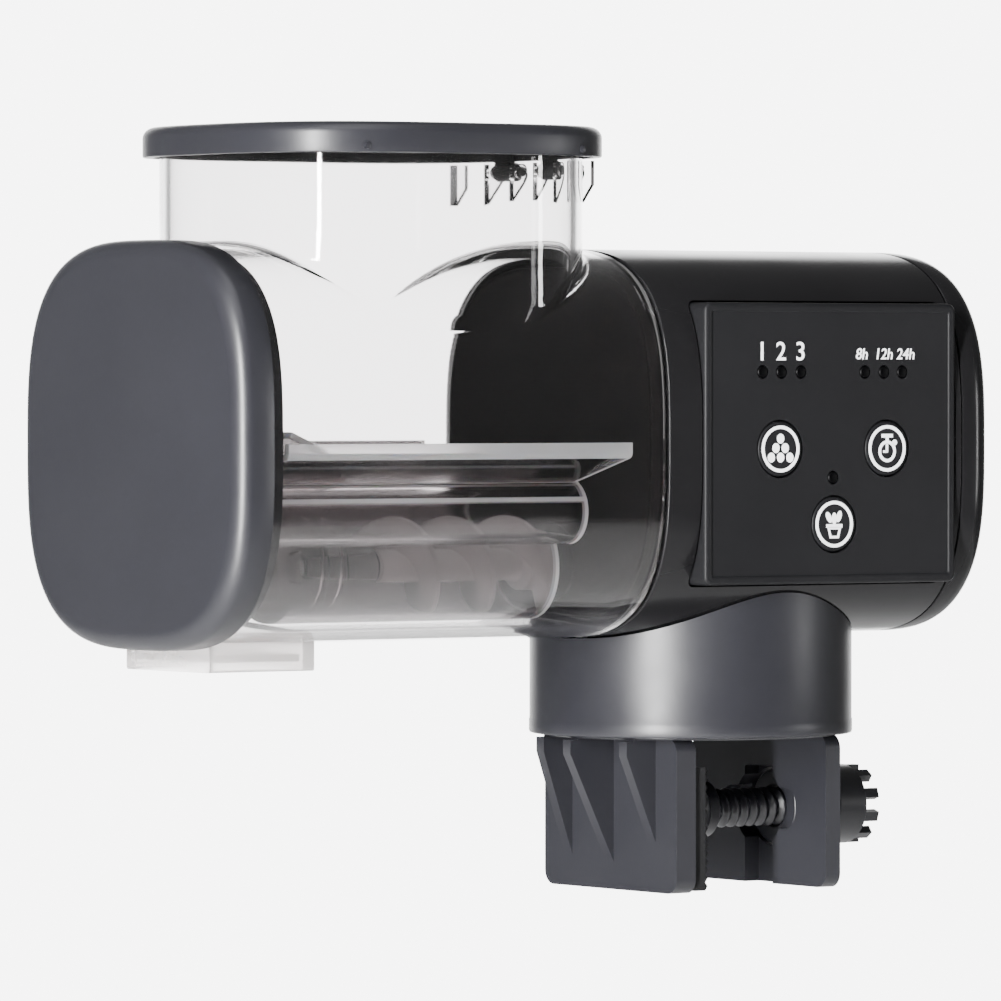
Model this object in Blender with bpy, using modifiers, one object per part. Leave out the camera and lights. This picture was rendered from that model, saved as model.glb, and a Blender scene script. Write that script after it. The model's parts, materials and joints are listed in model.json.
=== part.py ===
"""Automatic fish feeder: a clamp-on auger feeder with a clear food container.

Lengths are in millimetres until a helper turns them into metres.  +X runs along the
barrel from the front cap to the battery cover, the control panel faces -Y, +Z is up.
The origin is the rim seat: the underside of the clamp roof, on the swivel axis.
Barrel parts are drawn from the seam (x = 0) and the barrel's axis (z = 0), and hang
from an empty that stands there.
"""
import math

import bmesh
import bpy
from mathutils import Matrix, Vector

MM = 0.001
GAP = 0.3                    # clearance between neighbouring pieces
SEGMENTS = 40                # steps round a squircle
WELD = 0.00001               # metres
SHARP_ANGLE = math.radians(32)

# --- driving dimensions -----------------------------------------------------------
SEAM_X = -28.8               # seam between container and housing, from the swivel axis
AXIS_Z = 50.4                # barrel's axis above the rim seat
SQUIRCLE = 3.1               # exponent of the rounded square
BARREL = 33.0                # half width of container and housing
CAP = 33.8                   # half width of the front cap
WALL = 1.6                   # clear plastic
SHELL = 2.2                  # opaque plastic
CONTAINER_FRONT = -78.8
CAP_FRONT = -86.2
HOUSING_END = 62.3
COVER_END = 69.7

NECK_X = -37.8               # hopper neck's centre
NECK_HALF = (32.2, 30.8)
NECK_TOP = 50.2
LID_HALF = (34.9, 33.0)
LID_BOTTOM = 48.0
LID_TOP = 53.1
LID_SKIN = 1.6
HINGE_X = -3.9
HINGE_Z = 46.2
KNUCKLE_Y = 7.35
# (rise, outward) from the pin's axis
LUG = [(1.4, -8.0), (1.4, 0.6), (0.8, 1.4), (-0.8, 1.5), (-1.8, 1.0), (-5.6, -2.2), (-5.6, -8.0)]
STOP_RIB = [(1.4, -10.0), (1.4, -1.5), (-2.6, -1.5), (-5.6, -3.6), (-5.6, -10.0)]
LUG_Y = (3.7, 11.0, 18.5)    # two pairs of hinge lugs, then a stop rib at each side

AUGER_Z = -21.0
AUGER_R = 8.6
AUGER_PITCH = 11.4
FLIGHT_T = 1.4               # the auger's blade
FLIGHT_TURNS = 2.7
FLIGHT_STEPS = 16
TROUGH_R = 9.5
FLOOR_BACK = -6.5
FLOOR_FRONT = -75.2
BEARING_X = (-53.4, -49.6)    # its two hoops
HOOP = 1.2
SHEET = 1.2                  # floor and funnel sheet
BEAD_Y = 13.0                # rounded lower edge of the floor's sloping sides
BEAD_Z = -11.4
BEAD_R = 5.0
RAMP_TOP = 1.8
RAMP_SLOPE = 0.289

OUTLET_X = (-78.2, -57.6)
OUTLET_Y = 12.7
OUTLET_BOTTOM = -37.3
GATE_X = -67.9
GATE_Z = -35.15

PANEL_X = (7.4, 60.7)
PANEL_Z = 23.8
PANEL_FACE = -33.4
PANEL_BACK = -25.5
PANEL_SKIN = 2.0
BUTTON_R = 4.65
BOARD_Y = -17.2
BUTTONS = {"amount": (23.3, -0.9), "interval": (46.0, -0.9), "feed": (34.7, -13.7)}
LED_R = 1.2
LEDS = [(19.6, 12.1), (23.6, 12.1), (27.7, 12.1), (41.3, 12.1), (45.4, 12.1), (49.3, 12.1), (34.5, -5.8)]

GEAR_MODULE = 0.5
OUTPUT_TEETH, WHEEL_TEETH, PINION_TEETH = 34, 40, 10

COLLAR_R = 27.9
COLLAR_WALL = 2.4
ROOF_R = 25.2
RIB_R = 26.2
ROOF_T = 3.2
COLLAR_BOTTOM = 0.4
COLLAR_FLOOR = (ROOF_T + GAP, ROOF_T + 2.5)
SPIGOT_R = 12.0
POSTS = [(-12.0, -15.5), (-12.0, 15.5), (12.0, -15.5), (12.0, 15.5)]     # collar's screw posts
JAW_Y = 19.3
JAW_RIBS = [(-12.2, -17.5), (0.0, -21.4), (12.2, -20.7)]     # (y, lowest point)
JAW_BOTTOM = -26.1
FIXED_JAW = (-17.1, -13.0)
FAR_JAW = (14.7, 17.8)
NUT_WALL = (17.6, 21.2)
SCREW_Z = -12.9
SCREW_R = 3.4
INSERT_R = 6.5
KNOB_R = 6.9

# --- collections and empties ------------------------------------------------------
for old in list(bpy.data.objects):
    bpy.data.objects.remove(old, do_unlink=True)
parts = bpy.data.collections.new("automatic_fish_feeder")
cutters = bpy.data.collections.new("cutters")
for collection in (parts, cutters):
    bpy.context.scene.collection.children.link(collection)
cutters.hide_render = True


def empty(name, x, y, z):
    marker = bpy.data.objects.new(name, None)
    marker.location = (x * MM, y * MM, z * MM)
    marker.empty_display_size = 0.01
    parts.objects.link(marker)
    return marker


barrel = empty("barrel_axis", SEAM_X, 0, AXIS_Z)


# --- materials --------------------------------------------------------------------
def material(name, colour, roughness, metallic=0.0, alpha=1.0):
    made = bpy.data.materials.new(name)
    made.use_nodes = True
    shader = made.node_tree.nodes["Principled BSDF"]
    shader.inputs["Base Color"].default_value = (*colour, 1)
    shader.inputs["Roughness"].default_value = roughness
    shader.inputs["Metallic"].default_value = metallic
    shader.inputs["Alpha"].default_value = alpha
    made.diffuse_color = (*colour, alpha)
    return made


CHARCOAL = ("charcoal", (0.06, 0.06, 0.07), 0.45)
BLACK = ("gloss_black", (0.008, 0.008, 0.01), 0.12)
PANEL = ("panel_black", (0.012, 0.012, 0.014), 0.3)
CLEAR = ("clear_plastic", (0.9, 0.92, 0.93), 0.05, 0.0, 0.3)
SMOKED = ("smoked_plastic", (0.01, 0.01, 0.012), 0.15)
WHITE = ("milky_plastic", (0.75, 0.73, 0.72), 0.4)
RUBBER = ("rubber", (0.015, 0.015, 0.016), 0.8)
STEEL = ("steel", (0.5, 0.5, 0.52), 0.3, 1.0)
BRASS = ("brass", (0.7, 0.5, 0.2), 0.3, 1.0)
NYLON = ("nylon", (0.8, 0.78, 0.72), 0.5)
BOARD = ("board_green", (0.02, 0.18, 0.07), 0.5)
CELL = ("cell_wrap", (0.05, 0.12, 0.3), 0.35)


# --- shape helpers (millimetres in, metres out) -----------------------------------
def squircle(half_a, half_b, segments=SEGMENTS):
    """Points (a, b) round a rounded rectangle with bulging sides."""
    points = []
    for step in range(segments):
        angle = 2 * math.pi * step / segments
        cosine, sine = math.cos(angle), math.sin(angle)
        a = half_a * math.copysign(abs(cosine) ** (2 / SQUIRCLE), cosine)
        b = half_b * math.copysign(abs(sine) ** (2 / SQUIRCLE), sine)
        points.append((a, b))
    return points


def rounded_box_outline(low, high, radius, steps=4):
    """Points round a rectangle with rounded corners, from its low and high corners."""
    centres = [(high[0] - radius, high[1] - radius), (low[0] + radius, high[1] - radius),
               (low[0] + radius, low[1] + radius), (high[0] - radius, low[1] + radius)]
    points = []
    for quarter, (a, b) in enumerate(centres):
        for step in range(steps + 1):
            angle = math.pi / 2 * (quarter + step / steps)
            points.append((a + radius * math.cos(angle), b + radius * math.sin(angle)))
    return points


AXES = {"x": (Vector((0, 1, 0)), Vector((0, 0, 1)), Vector((1, 0, 0))),
        "y": (Vector((0, 0, 1)), Vector((1, 0, 0)), Vector((0, 1, 0))),
        "z": (Vector((1, 0, 0)), Vector((0, 1, 0)), Vector((0, 0, 1)))}


def finish_mesh(bm, name, parent, look, collection):
    bmesh.ops.recalc_face_normals(bm, faces=bm.faces)
    mesh = bpy.data.meshes.new(name)
    bm.to_mesh(mesh)
    bm.free()
    made = bpy.data.objects.new(name, mesh)
    collection.objects.link(made)
    made.parent = parent
    if look:
        mesh.materials.append(bpy.data.materials.get(look[0]) or material(*look))
    mesh.shade_smooth()
    mesh.set_sharp_from_angle(angle=SHARP_ANGLE)
    if collection is cutters:
        made.hide_render = True
        made.display_type = 'WIRE'
    return made


def loft(name, axis, rings, parent=None, look=None, collection=parts):
    """Bridge outlines of equal point count; each is (distance along axis, points)."""
    first, second, along = AXES[axis]
    bm = bmesh.new()
    loops = []
    for distance, points in rings:
        loops.append([bm.verts.new((first * a + second * b + along * distance) * MM) for a, b in points])
    for low, high in zip(loops, loops[1:]):
        for i in range(len(low)):
            j = (i + 1) % len(low)
            bm.faces.new((low[i], low[j], high[j], high[i]))
    bm.faces.new(loops[0])
    bm.faces.new(loops[-1])
    return finish_mesh(bm, name, parent, look, collection)


def prism(name, axis, outline, low, high, parent=None, look=None, collection=parts):
    """A flat outline extruded from low to high along the axis."""
    first, second, along = AXES[axis]
    bm = bmesh.new()
    face = bm.faces.new([bm.verts.new((first * a + second * b + along * low) * MM) for a, b in outline])
    grown = bmesh.ops.extrude_face_region(bm, geom=[face])["geom"]
    moved = [item for item in grown if isinstance(item, bmesh.types.BMVert)]
    bmesh.ops.translate(bm, vec=along * (high - low) * MM, verts=moved)
    return finish_mesh(bm, name, parent, look, collection)


def box(name, low, high, parent=None, look=None, collection=parts):
    low, high = Vector(low) * MM, Vector(high) * MM
    bm = bmesh.new()
    place = Matrix.Translation((low + high) / 2) @ Matrix.Diagonal((*(high - low), 1))
    bmesh.ops.create_cube(bm, size=1, matrix=place)
    return finish_mesh(bm, name, parent, look, collection)


def spin(name, axis, centre, points, closed, parent, look, collection, steps):
    """Spin (distance along axis, radius) points once round the axis through centre."""
    first, second, along = AXES[axis]
    middle = (first * centre[0] + second * centre[1]) * MM
    bm = bmesh.new()
    verts = [bm.verts.new(middle + (along * distance + first * radius) * MM) for distance, radius in points]
    edges = [bm.edges.new(pair) for pair in zip(verts, verts[1:])]
    if closed:
        edges.append(bm.edges.new((verts[-1], verts[0])))
    bmesh.ops.spin(bm, geom=verts + edges, cent=middle, axis=along, angle=2 * math.pi, steps=steps,
                   use_merge=True)
    bmesh.ops.remove_doubles(bm, verts=bm.verts, dist=WELD)
    return finish_mesh(bm, name, parent, look, collection)


def turned(name, axis, centre, profile, parent=None, look=None, collection=parts, steps=32):
    """A solid of revolution; profile is (distance along axis, radius), centre is (a, b)."""
    points = [(profile[0][0], 0), *profile, (profile[-1][0], 0)]
    return spin(name, axis, centre, points, False, parent, look, collection, steps)


def ring(name, axis, centre, low, high, inner, outer, parent=None, look=None, collection=parts, steps=32):
    """A plain tube with flat ends."""
    points = [(low, inner), (low, outer), (high, outer), (high, inner)]
    return spin(name, axis, centre, points, True, parent, look, collection, steps)


def sheet(name, path, low, high, parent, look):
    """A folded sheet: a path of (y, z) points drawn out along x, then thickened both ways."""
    bm = bmesh.new()
    verts = [bm.verts.new(Vector((low, y, z)) * MM) for y, z in path]
    edges = [bm.edges.new(pair) for pair in zip(verts, verts[1:])]
    grown = bmesh.ops.extrude_edge_only(bm, edges=edges)["geom"]
    moved = [item for item in grown if isinstance(item, bmesh.types.BMVert)]
    bmesh.ops.translate(bm, vec=Vector((high - low, 0, 0)) * MM, verts=moved)
    return thicken(finish_mesh(bm, name, parent, look, parts))


def thicken(surface):
    solid = surface.modifiers.new("thickness", 'SOLIDIFY')
    solid.thickness = SHEET * MM
    solid.offset = 0
    return surface


def combine(target, tool, operation):
    modifier = target.modifiers.new(tool.name, 'BOOLEAN')
    modifier.object = tool
    modifier.operation = operation
    modifier.solver = 'EXACT'


def cut(target, *tools):
    for tool in tools:
        combine(target, tool, 'DIFFERENCE')


def join(target, *tools):
    for tool in tools:
        combine(target, tool, 'UNION')


def tool_kwargs(parent=None):
    return {"parent": parent, "collection": cutters}


# --- food container ---------------------------------------------------------------
def neck_outline(inset):
    return [(NECK_X + a, b) for a, b in squircle(NECK_HALF[0] - inset, NECK_HALF[1] - inset)]


def food_container():
    body = prism("food_container", "x", squircle(BARREL, BARREL), CONTAINER_FRONT, -GAP, barrel, CLEAR)
    neck = prism("neck_outside", "z", neck_outline(0), 0, NECK_TOP, **tool_kwargs(barrel))
    left, right = OUTLET_X
    skirt = box("outlet_outside", (left, -OUTLET_Y, OUTLET_BOTTOM), (right, OUTLET_Y, -20),
                **tool_kwargs(barrel))
    join(body, neck, skirt)
    for index, y in enumerate((-LUG_Y[2], -LUG_Y[1], -LUG_Y[0], *LUG_Y)):
        profile = STOP_RIB if abs(y) == LUG_Y[2] else LUG
        profile = [(HINGE_Z + rise, HINGE_X + out) for rise, out in profile]
        lug = prism(f"hinge_lug_{index}", "y", profile, y - 0.7, y + 0.7, **tool_kwargs(barrel))
        join(body, lug)
    clear = squircle(BARREL - WALL, BARREL - WALL)
    inside = prism("barrel_inside", "x", clear, CONTAINER_FRONT - 1, 1, **tool_kwargs(barrel))
    neck_inside = prism("neck_inside", "z", neck_outline(WALL), 0, NECK_TOP + 1, **tool_kwargs(barrel))
    low = (left + SHEET, SHEET - OUTLET_Y, OUTLET_BOTTOM - 1)
    mouth = box("outlet_inside", low, (right - SHEET, OUTLET_Y - SHEET, -20), **tool_kwargs(barrel))
    slot_low = (GATE_X - 8.5, 5, GATE_Z - 1.05)
    gate_slot = box("gate_slot", slot_low, (GATE_X + 8.5, 16, GATE_Z + 1.05), **tool_kwargs(barrel))
    bore = [(-13, 1.2), (13, 1.2)]
    pin_hole = turned("hinge_pin_hole", "y", (HINGE_Z, HINGE_X), bore, steps=16, **tool_kwargs(barrel))
    cut(body, inside, neck_inside, mouth, gate_slot, pin_hole)


def front_cap():
    seat = CONTAINER_FRONT - GAP
    face = [(CAP_FRONT - 0.35, 16), (CAP_FRONT, 27), (CAP_FRONT + 0.7, 30.6), (CAP_FRONT + 1.7, 32.6),
            (CAP_FRONT + 3.0, CAP), (seat - 0.4, CAP), (seat, CAP - 0.4)]
    plug = BARREL - WALL - GAP
    rings = [(x, squircle(half, half)) for x, half in face]
    rings += [(seat, squircle(plug, plug)), (CONTAINER_FRONT + 2.6, squircle(plug, plug))]
    cap = loft("front_cap", "x", rings, barrel, CHARCOAL)
    room = squircle(plug - 2, plug - 2)
    cut(cap, prism("cap_inside", "x", room, CAP_FRONT + SHELL, CONTAINER_FRONT + 4, **tool_kwargs(barrel)))


def hopper_floor():
    """Sloping sides with a rounded bead at each lower edge, and the auger's trough between them."""
    side = [(-30.7, 0.3), (-30.7, -1.8), (-BEAD_Y, BEAD_Z + BEAD_R)]
    for step in range(1, 9):
        angle = math.radians(90 + 180 * step / 8)
        side.append((-BEAD_Y + BEAD_R * math.cos(angle), BEAD_Z + BEAD_R * math.sin(angle)))
    lip = math.asin((BEAD_Z - BEAD_R - AUGER_Z) / TROUGH_R)
    for step in range(9):
        angle = math.pi - lip + (math.pi / 2 + lip) * step / 8
        side.append((TROUGH_R * math.cos(angle), AUGER_Z + TROUGH_R * math.sin(angle)))
    path = side + [(-y, z) for y, z in reversed(side[:-1])]
    floor = sheet("hopper_floor", path, FLOOR_FRONT, FLOOR_BACK, barrel, CLEAR)
    low = (OUTLET_X[0] + 2, -8.0, AUGER_Z - 12)
    cut(floor, box("trough_mouth", low, (OUTLET_X[1] - 2, 8.0, AUGER_Z - 3), **tool_kwargs(barrel)))


def funnel_front():
    """A flat ramp above the floor's sides that leads food from the cap back to the trough."""
    bm = bmesh.new()
    half = [(-74.2, 30.4), (-62.0, 24.3), (-50.0, 10.5)]
    outline = half + [(x, -y) for x, y in reversed(half)]
    corners = [Vector((x, y, RAMP_TOP - RAMP_SLOPE * (x - half[0][0]))) for x, y in outline]
    bm.faces.new([bm.verts.new(corner * MM) for corner in corners])
    thicken(finish_mesh(bm, "funnel_front", barrel, CLEAR, parts))


def feed_auger(parent):
    profile = [(-51.5, 2.0), (-38.0, 2.0), (-37.6, 2.8), (-9.0, 2.8), (-8.5, 4.6), (-3.2, 4.6)]
    core = turned("feed_auger", "x", (0, 0), profile, parent, WHITE, steps=24)
    corners = [(-37.2, 1.5), (-37.2, AUGER_R), (-37.2 + FLIGHT_T, AUGER_R), (-37.2 + FLIGHT_T, 1.5)]
    bm = bmesh.new()
    face = bm.faces.new([bm.verts.new(Vector((x, radius, 0)) * MM) for x, radius in corners])
    steps = round(FLIGHT_TURNS * FLIGHT_STEPS)
    rise = Vector((AUGER_PITCH / FLIGHT_STEPS, 0, 0)) * MM
    bmesh.ops.spin(bm, geom=[*face.verts, *face.edges, face], cent=(0, 0, 0), axis=(1, 0, 0), dvec=rise,
                   angle=2 * math.pi * steps / FLIGHT_STEPS, steps=steps)
    join(core, finish_mesh(bm, "auger_flight", parent, None, cutters))
    cut(core, box("auger_socket", (-8.0, -1.8, -1.8), (-2.5, 1.8, 1.8), **tool_kwargs(parent)))


def auger_bearing():
    """Two thin hoops with upright bars, seated in the trough, whose hub carries the auger's free end."""
    centre = (0, AUGER_Z)
    inner, outer = TROUGH_R - SHEET / 2 - GAP - HOOP, TROUGH_R - SHEET / 2 - GAP
    front, back = BEARING_X
    body = ring("auger_bearing", "x", centre, front, -38.6, 2.3, 3.3, barrel, CLEAR, steps=20)
    for index, x in enumerate((front, back)):
        join(body, ring(f"bearing_hoop_{index}", "x", centre, x, x + HOOP, inner, outer,
                        **tool_kwargs(barrel)))
        for side, (low, high) in enumerate(((2.8, inner + 0.4), (-inner - 0.4, -2.8))):
            bar = box(f"bearing_bar_{index}_{side}", (x, -0.9, AUGER_Z + low),
                      (x + HOOP, 0.9, AUGER_Z + high),
                      **tool_kwargs(barrel))
            join(body, bar)


def outlet_gate(parent):
    plate = box("outlet_gate", (-8.2, -11.2, -0.6), (8.2, 12.4, 0.6), parent, CLEAR)
    tab_plate = box("gate_tab_plate", (-7.6, 12.0, -0.6), (7.6, 15.5, 0.6), **tool_kwargs(parent))
    tab_grip = box("gate_tab_grip", (-7.6, 14.3, -1.6), (7.6, 15.8, 1.2), **tool_kwargs(parent))
    join(plate, tab_plate, tab_grip)


# --- lid --------------------------------------------------------------------------
def hopper_lid(parent):
    """Drawn from the hinge pin's axis."""
    def outline(inset):
        return [(NECK_X - HINGE_X + a, b) for a, b in squircle(LID_HALF[0] - inset, LID_HALF[1] - inset)]
    bottom, top = LID_BOTTOM - HINGE_Z, LID_TOP - HINGE_Z
    rings = [(bottom, outline(0.3)), (bottom + 0.3, outline(0)), (top - 1.6, outline(0)),
             (top - 0.8, outline(0.35)),
             (top - 0.2, outline(1.2)), (top, outline(2.4))]
    lid = loft("hopper_lid", "z", rings, parent, CHARCOAL)
    hollow = prism("lid_inside", "z", outline(LID_SKIN), bottom - 1, top - LID_SKIN, **tool_kwargs(parent))
    cut(lid, hollow)
    for index, y in enumerate((-KNUCKLE_Y, KNUCKLE_Y)):
        knuckle = turned(f"lid_knuckle_{index}", "y", (0, 0), [(y - 2.6, 1.6), (y + 2.6, 1.6)], steps=16,
                         **tool_kwargs(parent))
        web = box(f"knuckle_web_{index}", (-1.2, y - 2.6, 0), (-0.1, y + 2.6, bottom + 1),
                  **tool_kwargs(parent))
        join(lid, knuckle, web)
    bore = turned("lid_pin_bore", "y", (0, 0), [(-12, 1.15), (12, 1.15)], steps=16, **tool_kwargs(parent))
    cut(lid, bore)
    seal = prism("lid_seal", "z", outline(LID_SKIN + GAP), NECK_TOP + GAP - HINGE_Z, top - LID_SKIN - GAP,
                 parent, RUBBER)
    cut(seal, prism("seal_inside", "z", outline(LID_SKIN + 3.0), 0, top, **tool_kwargs(parent)))
    for y in (-KNUCKLE_Y, KNUCKLE_Y):
        name = "hinge_pin_near" if y < 0 else "hinge_pin_far"
        turned(name, "y", (HINGE_Z, HINGE_X), [(y - 4.9, 0.85), (y + 4.9, 0.85)], barrel, STEEL, steps=12)


# --- housing ----------------------------------------------------------------------
def housing_shell():
    shell = prism("housing_shell", "x", squircle(BARREL, BARREL), GAP, HOUSING_END, barrel, BLACK)
    inside = prism("housing_inside", "x", squircle(BARREL - SHELL, BARREL - SHELL), GAP - 1,
                   HOUSING_END + 1, **tool_kwargs(barrel))
    pocket = box("panel_pocket", (PANEL_X[0] - GAP, -40, -PANEL_Z - GAP),
                 (PANEL_X[1] + GAP, -20, PANEL_Z + GAP),
                 **tool_kwargs(barrel))
    cut(shell, inside, pocket)
    for index, (x, y) in enumerate(POSTS):
        hole = turned(f"collar_screw_hole_{index}", "z", (x - SEAM_X, y), [(-40, 1.6), (-25, 1.6)],
                      steps=16,
                      **tool_kwargs(barrel))
        cut(shell, hole)


def bulkhead():
    half = BARREL - SHELL - GAP
    plate = prism("bulkhead", "x", squircle(half, half), GAP + 0.6, 3.0, barrel, PANEL)
    lip_half = BARREL - WALL - GAP
    lip = prism("bulkhead_lip", "x", squircle(lip_half - 1.2, lip_half - 1.2), -1.6, 2.0,
                **tool_kwargs(barrel))
    join(plate, lip)
    hole = turned("shaft_hole", "x", (0, AUGER_Z), [(-4, 2.5), (5, 2.5)], steps=24, **tool_kwargs(barrel))
    cut(plate, hole)


def battery_cover(parent):
    """Drawn from the end of the shell."""
    length = COVER_END - HOUSING_END
    outer = [(GAP, BARREL), (length - 3.0, BARREL), (length - 1.5, BARREL - 0.7),
             (length - 0.5, BARREL - 2.0),
             (length, BARREL - 4.4), (length + 0.3, 14)]
    plug = BARREL - SHELL - GAP
    rings = [(-1.2, squircle(plug, plug)), (GAP, squircle(plug, plug))]
    rings += [(x, squircle(half, half)) for x, half in outer]
    cover = loft("battery_cover", "x", rings, parent, BLACK)
    cut(cover, prism("cover_inside", "x", squircle(plug - 1.8, plug - 1.8), -4, length - 2.4,
                     **tool_kwargs(parent)))


def control_panel():
    outline = rounded_box_outline((-PANEL_Z, PANEL_X[0]), (PANEL_Z, PANEL_X[1]), 1.2, 3)
    inner = rounded_box_outline((-PANEL_Z + 1.6, PANEL_X[0] + 1.6), (PANEL_Z - 1.6, PANEL_X[1] - 1.6), 0.6,
                                2)
    panel = prism("control_panel", "y", outline, PANEL_FACE, PANEL_BACK, barrel, PANEL)
    cut(panel, prism("panel_inside", "y", inner, PANEL_FACE + PANEL_SKIN, PANEL_BACK + 1,
                     **tool_kwargs(barrel)))
    for name, (x, z) in BUTTONS.items():
        hole = turned(f"{name}_hole", "y", (z, x), [(-36, BUTTON_R + GAP), (-30, BUTTON_R + GAP)], steps=24,
                      **tool_kwargs(barrel))
        cut(panel, hole)
    for index, (x, z) in enumerate(LEDS):
        hole = turned(f"led_hole_{index}", "y", (z, x), [(-36, LED_R), (-30, LED_R)], steps=10,
                      **tool_kwargs(barrel))
        cut(panel, hole)


def button(name, x, z):
    """A key cap with a flange behind the panel and a stem to its switch."""
    marker = empty(f"{name}_button_axis", SEAM_X + x, 0, AXIS_Z + z)
    flange = PANEL_FACE + PANEL_SKIN + GAP
    profile = [(PANEL_FACE - 0.3, BUTTON_R - 0.4), (PANEL_FACE - 0.05, BUTTON_R), (flange, BUTTON_R),
               (flange, 5.6), (flange + 0.8, 5.6), (flange + 0.8, 1.5), (-24.0, 1.5)]
    turned(f"{name}_button", "y", (0, 0), profile, marker, PANEL, steps=24)
    body = box(f"{name}_switch", (x - 3, -22.2, z - 3), (x + 3, -18.8 - GAP, z + 3), barrel, PANEL)
    join(body, turned(f"{name}_plunger", "y", (z, x), [(-23.0, 1.6), (-21.5, 1.6)], steps=16,
                      **tool_kwargs(barrel)))


def led_light_guide():
    face = PANEL_FACE + PANEL_SKIN + GAP
    guide = box("led_light_guide", (17.6, face, 9.8), (51.4, face + 1.2, 14.4), barrel, SMOKED)
    join(guide, box("guide_arm", (33.3, face, -7.2), (35.7, face + 1.2, 10.5), **tool_kwargs(barrel)))
    for index, (x, z) in enumerate(LEDS):
        pin = turned(f"guide_pin_{index}", "y", (z, x), [(PANEL_FACE + 0.15, 0.9), (face + 0.5, 0.9)],
                     steps=8, **tool_kwargs(barrel))
        join(guide, pin)


def circuit_board():
    box("circuit_board", (10.5, -18.8, -19.5), (58.5, BOARD_Y, 19.5), barrel, BOARD)
    box("controller_chip", (38, BOARD_Y + GAP, 4), (48, BOARD_Y + 2, 14), barrel, PANEL)


def collar():
    floor_low, floor_top = COLLAR_FLOOR
    tube = turned("swivel_collar", "z", (0, 0), [(COLLAR_BOTTOM, COLLAR_R - 0.3),
                                                 (COLLAR_BOTTOM + 0.3, COLLAR_R), (40.0, COLLAR_R)],
                  None, CHARCOAL, steps=48)
    inside = turned("collar_inside", "z", (0, 0), [(floor_top, COLLAR_R - COLLAR_WALL),
                                                   (41, COLLAR_R - COLLAR_WALL)],
                    steps=32, collection=cutters)
    recess = turned("collar_recess", "z", (0, 0), [(-1, ROOF_R + GAP), (floor_low, ROOF_R + GAP)], steps=48,
                    collection=cutters)
    hole = turned("collar_hole", "z", (0, 0), [(0, SPIGOT_R + 0.1), (12, SPIGOT_R + 0.1)], steps=32,
                  collection=cutters)
    cut(tube, inside, recess, hole)
    for index, post in enumerate(POSTS):
        join(tube, ring(f"collar_post_{index}", "z", post, floor_top - 0.5, 30.0, 1.3, 3.6, steps=12,
                        collection=cutters))
    room = prism("barrel_room", "x", squircle(BARREL + GAP, BARREL + GAP), -90, 90, **tool_kwargs(barrel))
    cut(tube, room)
    head = AXIS_Z - BARREL + SHELL + 2.7
    for index, post in enumerate(POSTS):
        turned(f"collar_screw_{index + 1}", "z", post, [(head - 12, 1.0), (head, 1.0), (head, 2.6),
                                                        (head + 1.6, 2.6)],
               None, STEEL, steps=12)


def gear_outline(teeth):
    pitch = GEAR_MODULE * teeth / 2
    root, tip = pitch - 1.3 * GEAR_MODULE, pitch + 0.85 * GEAR_MODULE
    step = 2 * math.pi / teeth
    points = []
    for tooth in range(teeth):
        for radius, share in ((root, -0.30), (tip, -0.10), (tip, 0.10), (root, 0.30)):
            angle = step * (tooth + share)
            points.append((radius * math.cos(angle), radius * math.sin(angle)))
    return points


def gear(name, teeth, low, high, turn, parent, look=None, collection=parts):
    outline = gear_outline(teeth)
    cosine, sine = math.cos(turn), math.sin(turn)
    outline = [(a * cosine - b * sine, a * sine + b * cosine) for a, b in outline]
    return prism(name, "x", outline, low, high, parent, look, collection)


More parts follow.
